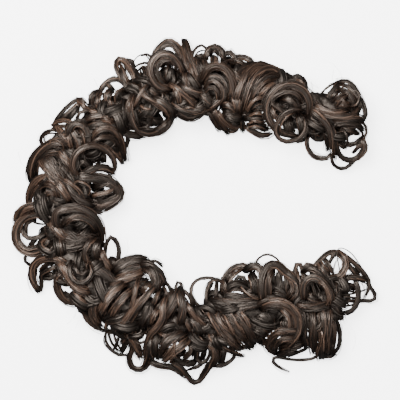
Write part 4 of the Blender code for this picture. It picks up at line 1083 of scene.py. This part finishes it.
def addFlyaways(builder, low, high):
    # single hairs that lie loosely over the curls
    made = flyaways
    count = made["perTuft"]
    along = rng.uniform(low, high, count)
    around = rng.uniform(*np.radians(made["around"]), count)
    reach = rng.uniform(*made["reach"], count)
    start = route.at(along) + route.outward(along) * (made["halfWidth"] * reach * np.cos(around))[:, None]
    z = plan["coreHeight"] + made["halfHeight"] * reach * np.sin(around)
    ring = rng.uniform(*made["ring"], count)
    first = rng.uniform(0, 2 * np.pi, count)
    sweep = 2 * np.pi * rng.uniform(*made["turns"], count) * rng.choice([-1, 1], count)
    sections = made["sections"]
    t = np.linspace(-0.5, 0.5, sections)[None]
    angle = first[:, None] + sweep[:, None] * t
    x = start[:, 0:1] + ring[:, None] * (np.cos(angle) - np.cos(first)[:, None])
    y = start[:, 1:2] + ring[:, None] * (np.sin(angle) - np.sin(first)[:, None])
    droop = np.minimum(z, 30)[:, None] * rng.uniform(*made["droop"], (count, 1)) * 4 * t**2
    wander = made["wander"] * wave(count, sections, 0.5, 1.5)
    centre = np.stack([x, y, z[:, None] - droop + wander], axis=-1)
    size = 2 * rng.uniform(*made["radius"], (count, 1)) * np.ones((1, sections))
    shade = rng.uniform(*made["shade"], (count, 1, 1))
    addRoundHairs(builder, centre, [1.0, 0.0, 0.0], [0.0, 0.0, 1.0], size, made["sides"], shade)


# single thin locks that stand off the mass: width, then the places along them
strayHairs = [
    (0.9, (330, 110, 24), (318, 96, 20), (309, 88, 14), (306, 83, 10), (311, 91, 8), (320, 93, 12),
     (330, 91, 18), (340, 82, 20)),
    (1.0, (320, 110, 26), (318, 101, 24), (323, 92, 22), (332, 85, 20), (341, 82, 20)),
    (1.4, (340, 275, 20), (338, 250, 14), (352, 254, 10), (368, 278, 6), (376, 296, 4), (373, 302, 4),
     (360, 301, 6)),
    (1.1, (330, 290, 24), (336, 262, 18), (346, 258, 14), (358, 272, 10), (367, 296, 6)),
    (1.2, (112, 318, 22), (105, 333, 10), (104, 345, 5), (115, 355, 3), (120, 341, 8), (124, 322, 20)),
    (1.2, (130, 325, 22), (117, 345, 8), (118, 356, 4), (133, 352, 5), (140, 338, 14)),
    (1.1, (140, 95, 26), (133, 65, 14), (142, 54, 10), (151, 62, 14), (158, 85, 26)),
    (1.2, (283, 354, 8), (286, 358, 4), (289, 362, 3)),
]

strayShape = {
    "perWidth": 2.5,  # hairs for each millimetre of width
    "spread": 0.7,  # how far apart they lie, and how far they wander, as shares of the width
    "wander": 0.35,
    "rise": 0.3,
    "sides": 4,
    "thickness": (0.5, 0.8),
    "thickest": 1.3,
    "shade": 0.35,
}


def addStray(builder, width, points):
    made = strayShape
    path = smoothLine([(*onPlan(x, y), z) for x, y, z in points], perSpan=6)
    wide, thick = levelRibbon(path)
    sections = len(path)
    count = max(2, round(width * made["perWidth"]))
    across = rng.uniform(-0.5, 0.5, (count, 1)) * width * made["spread"]
    across = across + made["wander"] * wave(count, sections, 0.6, 2.0) * width
    lift = made["rise"] * wave(count, sections, 0.6, 2.0) * width
    centre = path[None] + wide[None] * across[..., None] + thick[None] * lift[..., None]
    t = np.linspace(0, 1, sections)[None]
    size = rng.uniform(*made["thickness"], (count, 1)) * min(width, made["thickest"])
    size = size * np.minimum(1, 0.25 + (1 - t) * 3)
    addRoundHairs(builder, centre, wide, thick, size, made["sides"], made["shade"])


class Wire:
    # one socket of a shader, so that maths on it reads as an expression

    def __init__(self, shader, socket):
        self.shader = shader
        self.socket = socket

    def maths(self, operation, first, second):
        return self.shader.node("ShaderNodeMath", {"operation": operation}, {0: first, 1: second})

    def __add__(self, other):
        return self.maths("ADD", self, other)

    __radd__ = __add__

    def __sub__(self, other):
        return self.maths("SUBTRACT", self, other)

    def __rsub__(self, other):
        return self.maths("SUBTRACT", other, self)

    def __mul__(self, other):
        return self.maths("MULTIPLY", self, other)

    __rmul__ = __mul__


class Shader:
    # a material that is built node by node

    def __init__(self, name):
        self.material = bpy.data.materials.new(name)
        self.material.use_nodes = True
        self.tree = self.material.node_tree
        self.surface = self.tree.nodes["Principled BSDF"]

    def node(self, kind, settings, inputs, output=0):
        made = self.tree.nodes.new(kind)
        for name, value in settings.items():
            if name == "stops":
                self.setStops(made.color_ramp, value)
            else:
                setattr(made, name, value)
        for key, value in inputs.items():
            self.plug(made.inputs[key], value)
        return Wire(self, made.outputs[output])

    def setStops(self, ramp, stops):
        while len(ramp.elements) < len(stops):
            ramp.elements.new(0.5)
        for element, (position, colour) in zip(ramp.elements, stops):
            element.position = position
            element.color = (*colour, 1.0)

    def plug(self, socket, value):
        if isinstance(value, Wire):
            self.tree.links.new(value.socket, socket)
        else:
            socket.default_value = value

    def mixColour(self, share, first, second):
        inputs = {0: share, 6: first, 7: second}
        return self.node("ShaderNodeMix", {"data_type": "RGBA"}, inputs, output=2)

    def finish(self, **inputs):
        for name, value in inputs.items():
            self.plug(self.surface.inputs[name.replace("_", " ")], value)
        return self.material


hairFinish = {
    "deep": (0.0019, 0.0011, 0.0007, 1.0),
    "body": (0.0098, 0.0055, 0.0037, 1.0),
    "light": (0.082, 0.049, 0.034, 1.0),
    "specular": 0.5,
    "gloss": (1.0, 0.85, 0.74, 1.0),
    "roughLow": 0.26,
    "roughHigh": 0.44,
    "streakAcross": 0.7,  # streaks for each millimetre
    "streakAlong": 0.022,
    "coarseShare": 0.62,  # of the wide streaks, beside the fine fibres
    "greyRange": (0.34, 0.68),
    "fromStreaks": 0.6,  # how far the tone follows the streaks, the strand's tint and the lock's shade
    "fromTint": 0.5,
    "fromShade": 0.75,
    "darker": 0.45,
    "bump": 0.8,
    "bumpDepth": 0.0006,  # metres
}


def hairMaterial():
    made = hairFinish
    shader = Shader("darkBrownHair")
    flow = shader.node("ShaderNodeAttribute", {"attribute_name": "flow"}, {}, output=1)
    # the shade attribute carries the hair's own tone together with painted highlights and painted shade
    shade = shader.node("ShaderNodeAttribute", {"attribute_name": "shade"}, {}, output=2)
    scaled = shader.node(
        "ShaderNodeVectorMath", {"operation": "MULTIPLY"},
        {0: flow, 1: (made["streakAlong"], made["streakAcross"], 1.7)},
    )
    streak = shader.node(
        "ShaderNodeTexNoise", {"noise_dimensions": "3D"},
        {"Vector": scaled, "Scale": 1.0, "Detail": 3.0, "Roughness": 0.6},
    )
    finer = shader.node(
        "ShaderNodeVectorMath", {"operation": "MULTIPLY"},
        {0: flow, 1: (made["streakAlong"] * 1.6, made["streakAcross"] * 3.4, 3.1)},
    )
    fibre = shader.node(
        "ShaderNodeTexNoise", {"noise_dimensions": "3D"},
        {"Vector": finer, "Scale": 1.0, "Detail": 2.0, "Roughness": 0.5},
    )
    seed = shader.node("ShaderNodeSeparateXYZ", {}, {0: flow}, output=2)
    tint = shader.node("ShaderNodeTexWhiteNoise", {"noise_dimensions": "1D"}, {"W": seed})
    grey = streak * made["coarseShare"] + fibre * (1 - made["coarseShare"])
    low, high = made["greyRange"]
    tone = shader.node("ShaderNodeMapRange", {}, {0: grey, 1: low, 2: high, 3: 0.0, 4: 1.0})
    tone = tone * made["fromStreaks"] + tint * made["fromTint"] + shade * made["fromShade"] - made["darker"]
    colour = shader.node(
        "ShaderNodeValToRGB",
        {"stops": [(0.12, made["deep"][:3]), (0.5, made["body"][:3]), (0.92, made["light"][:3])]},
        {0: tone},
    )
    rough = made["roughLow"] + (made["roughHigh"] - made["roughLow"]) * (1 - tone)
    height = streak * 0.6 + fibre * 0.4
    bump = shader.node(
        "ShaderNodeBump", {},
        {"Strength": made["bump"], "Distance": made["bumpDepth"], "Height": height},
    )
    return shader.finish(
        Base_Color=colour, Roughness=rough, Normal=bump, Specular_IOR_Level=made["specular"],
        Specular_Tint=made["gloss"],
    )


sleeveFinish = {
    "dark": (0.008, 0.007, 0.007, 1.0),
    "thread": (0.030, 0.026, 0.024, 1.0),
    "threadPitch": 0.0007,
    "rough": 0.85,
    "threadGloss": 0.15,  # how much smoother the raised threads are
    "bump": 0.5,
    "bumpDepth": 0.0003,
}


def sleeveMaterial():
    # a fine braided sleeve over the bendable wire
    made = sleeveFinish
    shader = Shader("braidedSleeve")
    place = shader.node("ShaderNodeTexCoord", {}, {}, output=3)
    weave = shader.node(
        "ShaderNodeTexWave", {"wave_type": "BANDS", "bands_direction": "DIAGONAL"},
        {"Vector": place, "Scale": 0.3 / made["threadPitch"], "Distortion": 1.5, "Detail": 1.0},
        output=1,
    )
    grain = shader.node("ShaderNodeTexNoise", {}, {"Vector": place, "Scale": 900.0, "Detail": 2.0})
    tone = weave * 0.7 + grain * 0.3
    colour = shader.mixColour(tone, made["dark"], made["thread"])
    bump = shader.node(
        "ShaderNodeBump", {},
        {"Strength": made["bump"], "Distance": made["bumpDepth"], "Height": tone},
    )
    rough = made["rough"] - made["threadGloss"] * tone
    return shader.finish(Base_Color=colour, Roughness=rough, Normal=bump)


def tuftNear(tufts, x, y):
    return tufts[tuftAt(*route.nearest(onPlan(x, y)))]


def buildHair():
    material = hairMaterial()
    tufts = [HairBuilder() for _ in range(len(tuftBorders) + 1)]
    edges = [0.0] + [border for border, _ in tuftBorders] + [route.length]
    for builder, low, high in zip(tufts, edges, edges[1:]):
        addBoundHair(builder, low, high)
        addFlyaways(builder, low, high)
    for width, shade, *points in drawnBands:
        x, y, _ = np.mean(points, axis=0)
        addBand(tuftNear(tufts, x, y), width, shade, points)
    print("drawn bands made:", len(drawnBands))
    for title, makeLocks, kind in [("filling curls", fillingCurls, fillers), ("rim wisps", rimWisps, wisps)]:
        locks = makeLocks()
        for lock in locks:
            shade = rng.normal(*kind["shade"])
            addLock(tuftNear(tufts, lock.x, lock.y), lock, shade, kind["pitch"], kind["hairs"])
        print(title + " made:", len(locks))
    for width, *points in strayHairs:
        x, y, _ = points[0]
        addStray(tuftNear(tufts, x, y), width, points)
    total = 0
    for index, builder in enumerate(tufts):
        name = f"hair_{index + 1:02d}"
        mesh = builder.mesh(name)
        mesh.materials.append(material)
        piece = bpy.data.objects.new(name, mesh)
        bpy.context.scene.collection.objects.link(piece)
        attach(piece, "root")
        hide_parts(f"tuft_{index + 1:02d}")
        faces = len(mesh.loops) - 2 * len(mesh.polygons)
        total += faces
        print(name, builder.strandCount(), "strands,", faces, "triangles")
    print("hair made:", total, "triangles")


def finishCore():
    core = bpy.data.objects["core_wire"]
    material = sleeveMaterial()
    for slot in core.material_slots:
        slot.material = material
    if not core.material_slots:
        core.data.materials.append(material)
    print("core finished")


studio = {
    "floorSize": 3.0,
    "floorColour": (0.93, 0.93, 0.93, 1.0),
    "floorGrain": (0.95, 0.95, 0.95, 1.0),
    "floorRough": 0.9,
    "floorGlow": 3.6,  # the white surface is overexposed
    "keySize": 1.1,
    "keyPower": 86.0,
    "keyPlace": (-0.45, 0.55, 1.35),
    "fillSize": 1.6,
    "fillPower": 18.0,
    "fillPlace": (0.7, -0.5, 1.3),
    "skyStrength": 0.15,
}


def paleFloor():
    shader = Shader("paleFloor")
    place = shader.node("ShaderNodeTexCoord", {}, {}, output=3)
    grain = shader.node("ShaderNodeTexNoise", {}, {"Vector": place, "Scale": 40.0, "Detail": 3.0})
    colour = shader.mixColour(grain * 0.3, studio["floorColour"], studio["floorGrain"])
    half = studio["floorSize"] / 2
    mesh = bpy.data.meshes.new("floor")
    corners = [(-half, -half, 0), (half, -half, 0), (half, half, 0), (-half, half, 0)]
    mesh.from_pydata(corners, [], [(0, 1, 2, 3)])
    mesh.materials.append(
        shader.finish(
            Base_Color=colour, Roughness=studio["floorRough"],
            Emission_Color=(1.0, 1.0, 1.0, 1.0), Emission_Strength=studio["floorGlow"],
        )
    )
    floor = bpy.data.objects.new("floor", mesh)
    bpy.context.scene.collection.objects.link(floor)
    floor.visible_diffuse = False  # its glow leaves no pale veil on the hair
    floor.visible_glossy = False


def softLamp(name, size, power, place):
    lamp = bpy.data.lights.new(name, "AREA")
    lamp.size = size
    lamp.energy = power
    holder = bpy.data.objects.new(name, lamp)
    holder.location = place
    away = np.array(place)
    flat = math.hypot(away[0], away[1])
    holder.rotation_euler = (math.atan2(flat, away[2]), 0, math.atan2(away[1], away[0]) + math.pi / 2)
    bpy.context.scene.collection.objects.link(holder)


def lightStudio():
    softLamp("keyLamp", studio["keySize"], studio["keyPower"], studio["keyPlace"])
    softLamp("fillLamp", studio["fillSize"], studio["fillPower"], studio["fillPlace"])
    world = bpy.data.worlds.new("studioSky")
    world.use_nodes = True
    sky = world.node_tree.nodes["Background"]
    sky.inputs["Color"].default_value = (1.0, 1.0, 1.0, 1.0)
    sky.inputs["Strength"].default_value = studio["skyStrength"]
    bpy.context.scene.world = world


viewer = {
    "distance": 3.0,  # straight above, so the plan keeps its scale
    "span": 0.400,  # metres across the picture
    "x": 200,
    "y": 200,
    "height": 20.0,
}


def setCamera():
    camera = bpy.data.cameras.new("viewer")
    camera.lens = camera.sensor_width * viewer["distance"] / viewer["span"]
    camera.clip_end = 20
    holder = bpy.data.objects.new("viewer", camera)
    place = onPlan(viewer["x"], viewer["y"]) * mm
    holder.location = (place[0], place[1], viewer["height"] * mm + viewer["distance"])
    bpy.context.scene.collection.objects.link(holder)
    bpy.context.scene.camera = holder


setCamera()
paleFloor()
lightStudio()
print("studio set")
finishCore()
buildHair()
